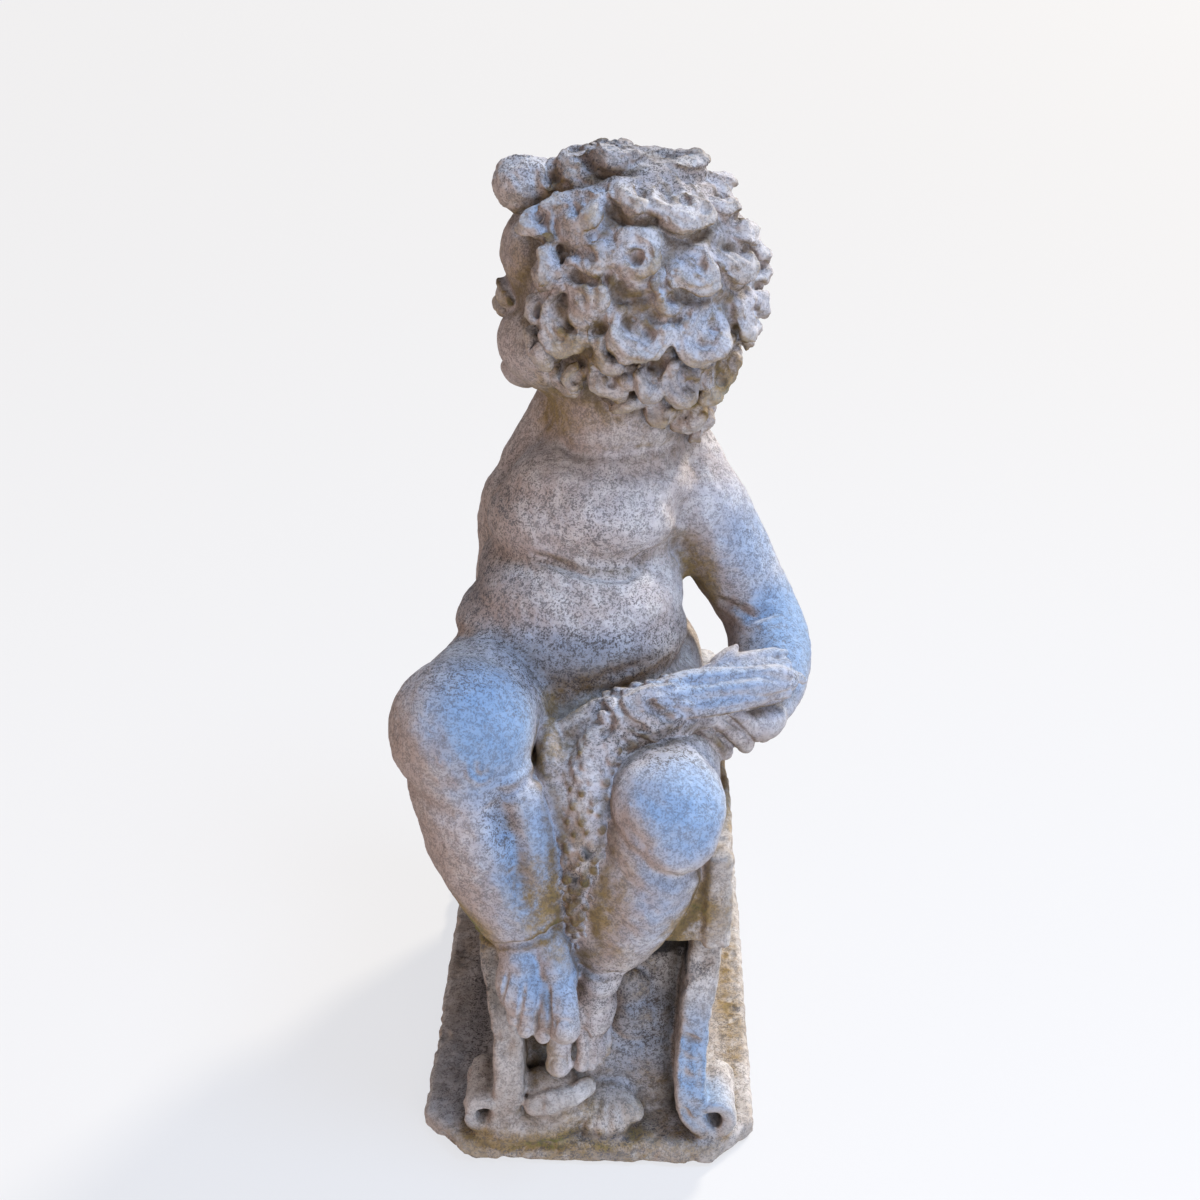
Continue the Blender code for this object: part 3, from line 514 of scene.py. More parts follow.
def thin(piece, wanted):
    """Collapses edges where the surface is plain until the wanted number of triangles is left."""
    count = sum_triangles(piece.data)
    if count > wanted:
        fewer = piece.modifiers.new("thin", "DECIMATE")
        fewer.ratio = wanted / count
        fewer.use_collapse_triangulate = True
        bake_modifiers(piece)


def sum_triangles(mesh):
    return len(mesh.loops) - 2 * len(mesh.polygons)


def read(rows, field, kind=np.float32):
    """A field of three numbers from each of the rows, as an array of n by 3."""
    values = np.empty(len(rows) * 3, dtype=kind)
    rows.foreach_get(field, values)
    return values.reshape(-1, 3)


def points_of(mesh):
    return read(mesh.vertices, "co").astype(float)


def normals_of(mesh):
    return read(mesh.vertex_normals, "vector").astype(float)


def triangles_of(mesh):
    mesh.calc_loop_triangles()
    return read(mesh.loop_triangles, "vertices", np.int32)


def set_points(mesh, points):
    mesh.vertices.foreach_set("co", points.astype(np.float32).ravel())
    mesh.update()


def as_part(piece):
    """The piece's mesh as (points, triangles), to be melted into another."""
    return points_of(piece.data), triangles_of(piece.data)


def laid(creases):
    """Rows of (path, depth, width, swell) with their paths in metres."""
    return [(metres(path), depth, width, swell) for path, depth, width, swell in creases]


def carve(piece, creases):
    """Each crease sinks points along their normal by depth exp(-(d / width)^2), d being the distance to the
    line laid on the surface, fades towards the line's ends, and swells its sides at 2.2 widths."""
    points, normals = points_of(piece.data), normals_of(piece.data)
    shift = np.zeros(len(points))
    for path, depth, width, swell in creases:
        depth, width = depth / 1000, width / 1000
        line = smooth_path(path, 12)
        reach = 4.5 * width + 0.008
        close = np.flatnonzero(((points > line.min(0) - reach) & (points < line.max(0) + reach)).all(1))
        if not len(close):
            continue
        local = points[close]
        gaps = ((local[:, None] - line[None]) ** 2).sum(2)
        line = smooth_path(local[gaps.argmin(0)][::6], 9)
        gaps = ((local[:, None] - line[None]) ** 2).sum(2)
        nearest = gaps.argmin(1)
        distance = np.sqrt(gaps.min(1)) / width
        fade = 1.0
        if len(path) > 2:
            fade = np.clip(np.sin(math.pi * (nearest + 1) / (len(line) + 1)) * 2.2, 0, 1)
        shift[close] -= depth * fade * (np.exp(-distance**2) - swell * np.exp(-(distance - 2.2) ** 2))
    set_points(piece.data, points + normals * shift[:, None])


def waves(points, length, seed, number=28):
    """Soft noise of about unit spread: a sum of cosines of about this wavelength, in directions all round."""
    chance = np.random.default_rng(seed)
    ways = chance.normal(size=(number, 3))
    ways *= (chance.uniform(0.75, 1.35, number) / np.linalg.norm(ways, axis=1))[:, None]
    turns = chance.uniform(0, 2 * math.pi, number)
    return np.cos(points @ ways.T * (2 * math.pi / length) + turns).sum(1) * math.sqrt(2 / number)


def weather(piece, depth, seed):
    """Rain-worn skin: broad waves, finer ones, and pits where the finest pass a level."""
    points, normals = points_of(piece.data), normals_of(piece.data)
    broad, fine, grain = (waves(points, length, seed + i) for i, length in enumerate((0.034, 0.013, 0.0062)))
    pits = np.clip(grain + 0.5 * fine - 1.5, 0, 1.6)
    shift = depth * (0.42 * broad + 0.30 * fine + 0.16 * grain - 0.75 * pits)
    set_points(piece.data, points + normals * shift[:, None])


# ---------------------------------------------------------------- the four pieces

def foot(name):
    """Heel and instep in the foot's own axes, a bone from the ankle to each toe's root, and five toes, each a
    line that is thinner past its joint and ends in a rounded pad."""
    ankle, along, inward, length, width = FEET[name]
    axes, ankle = axes_of(along, inward), np.array(ankle)

    def spot(front, left, up):
        return ankle + axes @ np.array((front, left, up))
    parts = [ball(spot(0.004, 0.0, -0.004), (0.028, width * 0.36, 0.025), axes),
             ball(spot(-0.010, 0.0, -0.018), (0.022, 0.019, 0.020), axes),
             ball(spot(length * 0.40, width * 0.17, 0.004), (length * 0.52, width * 0.29, 0.021), axes),
             ball(spot(length * 0.46, -width * 0.12, 0.000), (length * 0.60, width * 0.38, 0.020), axes)]
    parts += [ball(place, radii) for place, radii in INSTEPS[name]]
    for i, (root, joint, tip, radius) in enumerate(TOES[name]):
        root, joint, tip = np.array(root), np.array(joint), np.array(tip)
        bone = TOE_BONE if i else BIG_TOE_BONE
        start = spot(0.008, width * (0.16 - 0.08 * i), -0.002)
        parts.append(limb([(*start, bone), (*((start + root) / 2 - axes[:, 2] * 0.001), bone * 1.05),
                           (*(root + axes[:, 2] * 0.001), bone)], sides=16))
        parts.append(limb([(*root, radius), (*(joint + axes[:, 2] * 0.001), radius * 0.94),
                           (*((joint + tip) / 2), radius * 0.91), (*tip, radius * 1.0)], sides=16))
        if radius > NAIL_FROM:
            down = (tip - joint) / np.linalg.norm(tip - joint)
            axes_of_nail = axes_of(np.cross((1.0, 0.0, 0.0), down), (1.0, 0.0, 0.0))
            parts.append(ball(tip + (0.0, -0.84 * radius, 0.44 * radius),
                              np.array((0.34, 0.62, 0.60)) * radius, axes_of_nail, sides=16))
    return parts


def foot_creases(name):
    """Grooves between bones and between toes, a fold over each joint, and a nail's rim on each tip."""
    lines = []
    toes = [(np.array(a), np.array(b), np.array(c), r) for a, b, c, r in TOES[name]]
    front = np.array((0.0, -0.80, 0.60))
    for (root, joint, tip, radius), (root2, joint2, tip2, radius2) in zip(toes, toes[1:]):
        gap, gap2 = (root * radius2 + root2 * radius) / (radius + radius2), (joint + joint2) / 2
        up = gap - (gap2 - gap) * 1.7
        lines.append(((up + front * 0.008, gap + front * 0.006, gap2 + front * 0.003), 0.4, 2.0, 0.10))
        lines.append(((gap + front * 0.007, gap2 + front * 0.004, (tip + tip2) / 2 + front * 0.003),
                      2.2, 1.5, 0.25))
    for root, joint, tip, radius in toes:
        across = np.array((1.0, 0.0, 0.0)) * radius
        lines.append(((joint - across * 0.8 + front * radius * 0.6, joint + front * radius,
                       joint + across * 0.8 + front * radius * 0.6), 0.5, 1.2, 0.30))
        down = (tip - joint) / np.linalg.norm(tip - joint) * radius
        middle = tip + front * radius * 0.95
        rim = [middle + across * a + down * d for a, d in
               ((-0.62, 0.60), (-0.66, -0.10), (-0.35, -0.55), (0.35, -0.55), (0.66, -0.10), (0.62, 0.60))]
        lines.append((rim, *((1.7, 1.2) if radius > TOE_BONE else (0.9, 0.9)), 0.15))
    return lines


def finger_creases(fingers):
    """A short fold across the back of each middle joint."""
    lines = []
    for finger in fingers:
        joint, before, after = (np.array(finger[i][:3]) for i in (1, 0, 2))
        across = np.cross(after - before, (0.0, 0.0, 1.0))
        across /= np.linalg.norm(across)
        path = joint - across * 0.006, joint + (0, -0.004, 0), joint + across * 0.006
        lines.append((path, 1.0, 1.6, 0.3))
    return lines


def gaps_between(fingers):
    """A groove along the middle of each pair of neighbouring fingers."""
    rows = [np.array(finger)[:, :3] for finger in fingers]
    return [(tuple((a + b) / 2), 2.6, 1.8, 0.30) for a, b in zip(rows, rows[1:])]


def build_figure():
    """Flesh first, melted softly; then face, hands and feet join it and are carved."""
    soft = [ball(metres(place), metres(radii), about_z(turn)) for place, radii, turn in MASSES.values()]
    soft += [limb(points, sides=24) for points in LIMBS.values()]
    soft.append(ball(HEAD, SKULL, HEAD_AXES))
    forehead_and_jaw = FACE_SOFT[0], FACE_SOFT[3]
    soft += [ball(on_head(place), radii, HEAD_AXES) for place, radii in mirrored(forehead_and_jaw)]
    piece = new_piece("putto_figure", to_mesh("putto_figure", soft))
    melt(piece, *MELT_FLESH)
    firm = [as_part(piece)]
    firm += [ball(on_head(place), radii, HEAD_AXES) for place, radii in mirrored(FACE_SOFT)]
    piece.data = to_mesh("putto_figure", firm)
    melt(piece, *MELT_FACE)
    crisp = [as_part(piece)]
    crisp += [ball(on_head(place), radii, HEAD_AXES) for place, radii in mirrored(FACE_CRISP)]
    for *arc, radius in EYE_ARCS:
        for side in (1, -1):
            arc_points = on_head([(front, side * left, up) for left, up, front in arc])
            crisp.append(limb(np.hstack([arc_points, np.full((len(arc), 1), radius)]), sides=12))
    crisp += [ball(place, radii) for place, radii in LEFT_HAND + RIGHT_HAND]
    crisp += [limb(points, sides=16) for points in LEFT_FINGERS + RIGHT_FINGERS + (RIGHT_THUMB,)]
    for name in FEET:
        crisp += foot(name)
    piece.data = to_mesh("putto_figure", crisp)
    melt(piece, *MELT_FIGURE)
    lines = laid(CREASES) + finger_creases(LEFT_FINGERS + RIGHT_FINGERS)
    lines += gaps_between(LEFT_FINGERS) + gaps_between(RIGHT_FINGERS)
    for name in FEET:
        lines += foot_creases(name)
    for path, depth, width, swell, pair in FACE_CREASES:
        for side in ((1, -1) if pair else (1,)):
            lines.append((on_head(np.array(metres(path)) * (1, side, 1)), depth, width, swell))
    carve(piece, lines)
    return piece


def skull_axes(latitude, longitude):
    """Outwards, sideways and up at a place on the skull, in the head's own axes."""
    lat, lon = math.radians(latitude), math.radians(longitude)
    way = np.array((math.cos(lat) * math.cos(lon), math.cos(lat) * math.sin(lon), math.sin(lat)))
    side = np.array((-math.sin(lon), math.cos(lon), 0.0))
    return way, side, np.cross(way, side)


def lock(latitude, longitude, reach, start, end, tube, lift=LOCK_LIFT):
    """A comma of hair laid on the skull: at share s of its length it lies reach (1.4 - 0.8 s) from its
    middle, a little oval, at an angle that goes evenly from start to end; it rises from the skull and sinks
    again, a large one stands out further below, it thins at its root, and its back is cut into strands."""
    way, side, up = skull_axes(latitude, longitude)
    s = np.linspace(0.0, 1.0, 34)[:, None]
    angle = np.radians(start + (end - start) * s)
    oval = 1 + 0.16 * np.cos(2 * angle - 0.09 * latitude - 0.05 * longitude)
    spot = way + (side * np.cos(angle) + up * np.sin(angle)) * reach * (1.4 - 0.8 * s) * oval / SKULL_MM
    spot /= np.linalg.norm(spot, axis=1)[:, None]
    rise = np.sin(math.pi * (0.15 + 0.62 * s))
    droop = 1 - 0.30 * np.sin(angle) * (lift > WISP_LIFT)
    place = on_head(spot * (SKULL + lift * (0.35 + 0.72 * rise) * droop))
    swell = 0.56 * np.sin(math.pi * (0.08 + 0.72 * s))
    thick = tube / 1000 * (0.52 + swell + 0.09 * np.sin(11 * s + latitude))
    outwards = np.vstack([spot[:1]] * 4 + [spot] + [spot[-1:]] * 4) @ HEAD_AXES.T
    return sweep(rounded(np.hstack([place, thick])), sides=32, wide=1.05, thick=0.92, up=outwards, grooves=6,
                 depth=0.26)


def clump(latitude, longitude, reach, tube):
    """The swelling that a lock winds round: an ellipsoid on the skull, a little below the lock's middle."""
    way, side, up = skull_axes(latitude, longitude)
    wide = min(reach, 17.0) / 1000 + 0.50 * tube / 1000
    way = way - up * 0.045
    axes = HEAD_AXES @ axes_of(way, side)
    return ball(on_head(way / np.linalg.norm(way) * SKULL), (CLUMP_HEIGHT, wide, wide * 0.94), axes, sides=24)


def dints(latitude, longitude, reach, tube):
    """Creases for a lock: the pit in its middle, and the undercut just past its lower edge."""
    way, side, up = skull_axes(latitude, longitude)
    turn = np.radians((205, 235, 270, 305, 335))[:, None]
    away = min(1.15 * reach, 19.0) + 0.95 * tube
    below = way + (side * np.cos(turn) + up * np.sin(turn)) * away / SKULL_MM
    below /= np.linalg.norm(below, axis=1)[:, None]
    pit = on_head(np.stack([way, way + side * 0.012 - up * 0.02]) * (SKULL + 0.014))
    undercut = on_head(below * (SKULL + 0.012))
    deep = CROWN_UNDERCUT if latitude > 44 and longitude > 170 else UNDERCUT
    return [(pit, PIT, DINT_WIDTH, DINT_SWELL), (undercut, deep, DINT_WIDTH, DINT_SWELL)]


def wisps():
    """Small locks that fill the hair between the large ones, spread evenly by the golden angle."""
    chance = np.random.default_rng(11)
    parts = []
    for i in range(WISPS):
        latitude = math.degrees(math.asin(1 - 2 * (i + 0.5) / WISPS))
        longitude = (GOLDEN_DEGREES * i) % 360
        start, turn = chance.uniform(0, 360), chance.uniform(130, 230) * chance.choice((-1, 1))
        grow = chance.uniform(0.75, 1.25)
        bare = min(longitude, 360 - longitude) < HAIRLINE and latitude < HAIR_TOP
        if latitude > HAIR_FOOT and not bare:
            parts.append(lock(latitude, longitude, WISP_REACH * grow, start, start + turn, WISP_TUBE * grow,
                              WISP_LIFT))
    return parts


def nape_curls():
    """Small spirals standing round the back of the neck."""
    parts = []
    for row, ((x, y), distance, height, first, last, number, radius) in enumerate(NAPE):
        for i, longitude in enumerate(np.linspace(first, last, number)):
            angle = math.radians(longitude + FACING)
            out = np.array((math.cos(angle), math.sin(angle), 0.0))
            side, up = np.array((-out[1], out[0], 0.0)), np.array((0.0, 0.0, 1.0))
            middle = np.array((x, y, height)) + out * distance + up * 0.009 * math.sin(3.7 * i + row)
            s = np.linspace(0.0, 1.0, 26)[:, None]
            turn = (-1) ** (i + row) * 2 * math.pi * 1.1 * s + 2.1 * i
            reach = (radius - NAPE_TUBE) * (1 - 0.9 * s)
            line = middle + (side * np.cos(turn) + up * np.sin(turn)) * reach + out * 0.008 * s
            parts.append(sweep(rounded(np.hstack([line, np.full_like(s, NAPE_TUBE)])), sides=24, up=out,
                               grooves=6, depth=0.26))
    return parts


def build_hair():
    """The mass of hair, its locks on the left and mirrored on the right and the wisps between them, all bent
    out of true by soft waves; then the forelock."""
    mass = ball(on_head((-0.010, 0.0, 0.008)), SKULL + (-0.001, 0.005, 0.003), HEAD_AXES, sides=48)
    parts = [mass] + wisps()
    cuts = []
    for i, (latitude, longitude, reach, start, end, tube) in enumerate(LOCKS):
        places = [(latitude, longitude, reach, start, end, tube)]
        if longitude < TWIN_LONGITUDE and latitude < TWIN_LATITUDE:
            places.append((latitude + 3 * math.sin(1.9 * i), 360 - longitude,
                           reach * (1 + 0.10 * math.sin(2.7 * i)), 180 - start, 180 - end, tube))
        for lat, lon, wide, first, last, thick in places:
            parts.append(lock(lat, lon, wide, first, last, thick))
            if lat > CLUMP_FOOT:
                parts.append(clump(lat, lon, wide, thick))
                cuts += dints(lat, lon, wide, thick)
    place, radius = FORELOCK
    s = np.linspace(0.0, 1.0, 60)[:, None]
    turn, rest = 2 * math.pi * 1.6 * s, radius * (1 - 0.78 * s)
    roll = np.hstack([rest * np.cos(turn + 0.6), 0.006 - 0.022 * s, rest * np.sin(turn + 0.6)]) * 0.55
    roll = on_head(np.array(place) + roll)
    curl = [ball(on_head(place), np.array((0.88, 0.95, 0.88)) * radius, HEAD_AXES, sides=40),
            ball(on_head(np.array(place) * (0.78, 0.66, 1.04)), (0.023, 0.024, 0.019), HEAD_AXES),
            sweep(rounded(np.hstack([roll, np.full_like(s, radius * 0.42)])),
                  sides=28, grooves=6, depth=0.22)]
    piece = new_piece("putto_hair", to_mesh("putto_hair", parts + nape_curls()))
    points = points_of(piece.data)
    broad, fine = (np.stack([waves(points, length, seed, 20) for length, seed in three], 1)
                   for three in (BENDS, FINE_BENDS))
    set_points(piece.data, points + BEND * (broad + 0.35 * fine))
    piece.data = to_mesh("putto_hair", [as_part(piece)] + curl)
    melt(piece, *MELT_HAIR)
    carve(piece, cuts)
    return piece


def knobs(path, number, size, seed):
    """Buds set by the golden angle round a line, each an ellipsoid with its long axis along the line."""
    line = smooth_path(path, 12)
    chance = np.random.default_rng(seed)
    parts = []
    for i in range(number):
        row = line[int((len(line) - 1) * i / (number - 1))]
        ahead = line[min(len(line) - 1, int((len(line) - 1) * i / (number - 1)) + 1)][:3] - row[:3]
        angle = GOLDEN * i
        way = np.array((math.cos(angle), -0.45 - 0.45 * abs(math.sin(angle)),
                        0.22 + 0.40 * math.sin(2 * angle)))
        grow = size * chance.uniform(0.55, 1.1)
        axes = axes_of(ahead + way * 0.004 if np.linalg.norm(ahead) > 1e-6 else way, (0.3, 0.2, 0.9))
        parts.append(ball(row[:3] + row[3] * 0.96 * way / np.linalg.norm(way),
                          (grow, grow * 0.66, grow * 0.62), axes, sides=14))
    return parts


def grains():
    """Ears of corn on the sheaf's near half: grains set by the golden angle round it, each leaning out."""
    line = smooth_path(SHEAF[:3], 16)
    parts = []
    for i in range(GRAINS):
        row = line[int((len(line) - 1) * (i / (GRAINS - 1)) ** 1.1 * 0.86)]
        angle = GOLDEN * i
        way = np.array((0.0, math.cos(angle), math.sin(angle)))
        axes = axes_of(np.array((-1.0, 0.15, -0.05)) + way * 0.45, np.cross(way, (1.0, 0, 0)))
        parts.append(ball(row[:3] + row[3] * 0.86 * way, (0.0098, 0.0050, 0.0050), axes, sides=14))
    return parts


def build_sheaf():
    """Stalks twisted round the sheaf's middle line, ears and leaves at its ends, the garland of small flowers
    that hangs from it, and the cloth with its folds between the knees."""
    line = smooth_path(SHEAF, 8)
    along = np.linspace(0, 1, len(line))
    parts = [sweep(rounded(line * (1, 1, 1, 0.66)))]
    for i in range(STALKS):
        angle = 2 * math.pi * i / STALKS + 1.5 * along
        stalk = line.copy()
        stalk[:, 1] += 0.72 * line[:, 3] * np.cos(angle)
        stalk[:, 2] += 0.72 * line[:, 3] * np.sin(angle)
        stalk[:, 3] = 0.30 * line[:, 3] * (1 + 0.24 * np.sin(13 * along + 2.0 * i) + 0.12 * (1 - along))
        parts.append(sweep(rounded(stalk), sides=20, grooves=4, depth=0.16))
    parts += [limb(points, sides=24, grooves=5, depth=0.30) for points in EARS]
    parts += [limb(points, sides=18, wide=1.2, grooves=3, depth=0.18) for points in LEAVES]
    parts += grains()
    parts += knobs(GARLAND, FLOWERS, FLOWER_SIZE, 4)
    parts.append(limb(GARLAND, sides=20))
    parts.append(limb(CLOTH, sides=40, grooves=7, depth=0.05))
    parts += [limb(points, sides=24) for points in FOLDS]
    piece = new_piece("putto_sheaf", to_mesh("putto_sheaf", parts))
    melt(piece, *MELT_SHEAF)
    carve(piece, laid(LEAF_CUTS))
    return piece


def squared(wave, power):
    """A sine or cosine to a power below one, its sign kept: a circle made with it is nearly a rectangle."""
    return np.sign(wave) * np.abs(wave) ** power


def leg(side, front):
    """One leg of the stool: rings of a rounded band as deep as the leg, along its outline into the volute."""
    outline = smooth_path([(a, z, r) for a, z, r in LEG], 8)
    line = outline[:, :2] * (side, 1)
    along = np.gradient(line, axis=0)
    out = np.stack([-along[:, 1], along[:, 0]], axis=1) / np.linalg.norm(along, axis=1)[:, None]
    lean = LEG_LEAN * np.maximum(0.0, line[:, 1] - 0.05) * (front < 0)
    angle = np.linspace(0, 2 * math.pi, 28, endpoint=False)
    hollow = 1 - 0.10 * np.exp(-(np.sin(angle) / 0.7) ** 2)
    across = squared(np.cos(angle), 0.35) * hollow
    deep = LEG_DEPTH / 2 * (1 + squared(np.sin(angle), 0.35))
    push = outline[:, 2][:, None] * across
    rings = np.stack([SEAT_X + line[:, :1] + out[:, :1] * push, front + lean[:, None] + deep[None] + 0 * push,
                      line[:, 1:] + out[:, 1:] * push], -1)
    return closed_skin(rings, rings[0].mean(0), rings[-1].mean(0))


def shell():
    """Ribs in a fan, each swelling outwards on its way down to a layered lip."""
    parts = []
    root, lip = np.array(SHELL_ROOT), np.array(SHELL_LIP)
    t = np.linspace(0.0, 1.0, 14)[:, None]
    for i in range(SHELL_RIBS):
        off = i - (SHELL_RIBS - 1) / 2
        rib = root + (lip - root) * t
        rib[:, 0] += off * SHELL_SPREAD * (0.45 + 0.55 * t[:, 0])
        rib[:, 1] += 0.0022 * off * off - 0.008 * np.sin(math.pi * t[:, 0])
        rib[:, 2] += 0.0035 * off * off * t[:, 0]
        parts.append(sweep(rounded(np.hstack([rib, 0.0105 + 0.0025 * t]))))
    return parts


def stool_body():
    """Rounded rectangles at rising levels, as wide and as far forward as the level says."""
    angle = np.linspace(0, 2 * math.pi, 48, endpoint=False)
    across, deep = squared(np.cos(angle), 0.3), squared(np.sin(angle), 0.3)
    height, front, half = (column[:, None] for column in smooth_path(BODY, 4).T)
    rings = np.stack([SEAT_X + half * across, (front + BODY_BACK) / 2 + (BODY_BACK - front) / 2 * deep,
                      height + 0 * across], -1)
    return closed_skin(rings, rings[0].mean(0), rings[-1].mean(0))


def chip(piece, depth, length, seed):
    """Knocks back the sharp edges where a soft noise of this length is high."""
    data = points_of(piece.data), normals_of(piece.data), vertex_areas(piece.data)
    edge = np.clip(hollows([data], 0.0045, 0.009) * 3.0 - 0.10, 0, 1)
    worn = np.clip(waves(data[0], length, seed) + 0.5 * waves(data[0], length / 2.6, seed + 1) - 0.35, 0, 1.6)
    set_points(piece.data, data[0] - data[1] * (depth * edge * worn)[:, None])


def build_stool():
    """Plinth, seat with the cloth at its corner, body, rocks, four legs, the shell and the ledge of stone."""
    left, right = SEAT_X - SEAT_HALF, SEAT_X + SEAT_HALF
    half, deep = PLINTH_WIDTH / 2, PLINTH_DEPTH / 2
    parts = [slab(-half, half, -deep, deep, -PLINTH_THICK, 0.0, front=PLINTH_CORNER, edge=0.004),
             slab(left, right, SEAT_FRONT, SEAT_BACK, SEAT_LOW, SEAT_TOP, 0.008, 0.008, edge=0.004),
             slab(right - 0.022, right + 0.002, SEAT_FRONT - 0.005, -0.05, SEAT_LOW - 0.003, SEAT_TOP,
                  0.004, 0.004),
             stool_body(), *(ball(place, radii) for place, radii in ROCKS + KNOB)]
    parts += [leg(side, front) for side in (-1, 1) for front in (LEG_FRONT, BODY_BACK - 0.02)]
    parts += shell()
    parts.append(limb(LEDGE, thick=0.62, up=(0.0, -0.75, 0.66)))
    piece = new_piece("putto_stool", to_mesh("putto_stool", parts))
    melt(piece, *MELT_STOOL)
    carve(piece, laid(SHELL_GROOVES))
    chip(piece, 0.0026, 0.040, 60)
    return piece


# ---------------------------------------------------------------- masks of weathering and of painted light and shade

def blurred(grid, sigma):
    """Gaussian blur of a grid of values along its three axes; sigma in cells."""
    reach = int(math.ceil(2.5 * sigma))
    weights = np.exp(-0.5 * (np.arange(-reach, reach + 1) / sigma) ** 2)
    weights /= weights.sum()
    for axis in range(3):
        padded = np.moveaxis(grid, axis, 0)
        total = np.zeros_like(padded)
        for offset, weight in zip(range(-reach, reach + 1), weights):
            a, b = max(0, offset), len(padded) + min(0, offset)
            total[a - offset:b - offset] += weight * padded[a:b]
        grid = np.moveaxis(total, 0, axis)
    return grid


def hollows(pieces, cell, sigma):
    """How far each point x lies under its neighbours' tangent planes: the mean of (p - x) . n over the
    surface round x, taken with blurred grids of area, area times n and area times p . n, in units of the
    blur. It is positive on ridges and negative in hollows."""
    points = np.vstack([p for p, _, _ in pieces])
    normals = np.vstack([n for _, n, _ in pieces])
    areas = np.concatenate([a for _, _, a in pieces])
    low = points.min(0) - 4 * sigma
    shape = tuple(np.ceil((points.max(0) + 4 * sigma - low) / cell).astype(int) + 1)
    spots = (points - low) / cell
    flat = np.ravel_multi_index(tuple(np.rint(spots).astype(int).T), shape)
    middle = points.mean(0)
    values = [areas, *(areas * normals[:, i] for i in range(3)), areas * ((points - middle) * normals).sum(1)]
    sums = [np.bincount(flat, value, minlength=int(np.prod(shape))).reshape(shape) for value in values]
    grids = [blurred(grid, sigma / cell) for grid in sums]
    corner = np.floor(spots).astype(int)
    part = spots - corner
    found = []
    for grid in grids:
        total = np.zeros(len(points))
        for i in range(8):
            step = np.array((i & 1, i >> 1 & 1, i >> 2 & 1))
            weight = np.where(step, part, 1 - part).prod(1)
            total += weight * grid.ravel()[np.ravel_multi_index(tuple((corner + step).T), shape)]
        found.append(total)
    area, nx, ny, nz, moment = found
    x = points - middle
    mean = (moment - (x * np.stack([nx, ny, nz], 1)).sum(1)) / np.maximum(area, 1e-12)
    return mean / sigma


def vertex_areas(mesh):
    """A third of each triangle's area for each of its corners."""
    points, faces = points_of(mesh), triangles_of(mesh)
    a, b, c = points[faces].transpose(1, 0, 2)
    area = np.linalg.norm(np.cross(b - a, c - a), axis=1) / 6
    return np.bincount(faces.ravel(), np.repeat(area, 3), minlength=len(points))


# Places, as (centre, three radii, strength), where lichen grows and where painted shadow lies
# Painted shadow: the band under the seat, beside the stool's left side, and on the left knee under the sheaf
LICHEN_AND_SHADOW_PLACES = (((30, 60, 770), (85, 90, 30), 0.9), ((-55, 45, 765), (40, 40, 30), 0.5),
        ((-22, -40, 392), (110, 90, 27), 1.0), ((-100, -110, 418), (55, 60, 22), 0.6),
        ((-66, -184, 312), (16, 20, 34), 0.6), ((-78, 30, 480), (40, 60, 70), 0.5),
        ((0, -20, 490), (50, 40, 30), 0.35), ((40, -150, 110), (50, 50, 70), 0.5),
        ((-115, -60, 60), (45, 150, 140), 0.30), ((-103, 20, 0), (14, 160, 30), 1.1),
        ((170, -50, 374), (16, 20, 10), 0.8), ((60, -130, 153), (40, 50, 14), 2.1),
        ((1, -176, 283), (6, 12, 8), 1.9), ((-9, -174, 255), (7, 12, 11), 1.9),
        ((-10, -160, 250), (24, 30, 30), 0.9), ((0, -200, -12), (150, 50, 10), 0.55),
        ((-95, -140, 120), (16, 60, 80), 1.2), ((-100, 20, 420), (40, 70, 50), 0.9),
        ((62, -136, 360), (50, 26, 13), 0.7), ((-70, 10, 440), (50, 70, 30), 0.7),
        ((-6, -50, 434), (80, 50, 18), 0.42), ((20, 20, 720), (100, 90, 50), 0.15),
        ((-10, -40, 454), (70, 50, 14), 0.34), ((0, -192, 4), (140, 20, 7), 1.0))
# Where painted bluish skylight lies:
PAINTED_SKYLIGHT_PLACES = (((-80, -160, 380), (60, 70, 60), 0.9), ((-50, -180, 265), (42, 40, 90), 0.75),
         ((-30, -200, 180), (50, 40, 50), 0.7), ((68, -175, 318), (56, 60, 48), 0.85),
         ((155, 10, 370), (50, 90, 60), 0.8), ((118, 45, 440), (55, 55, 55), 0.55),
         ((90, -90, 384), (95, 40, 30), 0.6), ((90, -195, 64), (34, 30, 80), 0.85),
         ((-10, 30, 720), (80, 80, 60), 0.45), ((-30, -70, 388), (120, 60, 36), 0.45),
         ((60, -10, 660), (70, 60, 90), 0.38), ((-125, -150, 0), (40, 100, 40), 0.35),
         ((40, -150, 70), (50, 40, 70), 0.5), ((45, -190, 240), (50, 40, 60), 0.6))
# Where moss grows:
MOSS = (((90, 30, 590), (40, 50, 26), 0.9), ((-10, -20, 640), (30, 30, 26), 0.5),
        ((-32, 30, 556), (26, 40, 20), 0.15), ((70, -162, 214), (52, 20, 38), 1.2),
        ((-88, -160, 206), (34, 30, 36), 1.8), ((112, -10, 230), (16, 140, 60), 0.9),
        ((-36, -180, 80), (20, 30, 34), 0.9), ((-20, -206, -4), (150, 26, 22), 1.1),
        ((66, -186, 18), (12, 20, 22), 0.9), ((90, 30, 420), (20, 30, 40), 0.6),
        ((-12, -150, 240), (24, 40, 40), 0.4), ((-4, -196, 20), (20, 20, 22), 0.8),
        ((20, 0, -14), (200, 260, 12), 0.8), ((128, -20, 4), (16, 150, 30), 0.9),
        ((-36, -96, 334), (16, 30, 24), 0.7))


def zone(points, places):
    """Strength exp(-d^3) of the strongest place, d being the distance from its centre in radii."""
    best = np.zeros(len(points))
    for centre, radii, strength in places:
        away = (((points - metres(centre)) / metres(radii)) ** 2).sum(1) ** 1.5
        best = np.maximum(best, strength * np.exp(-away))
    return best


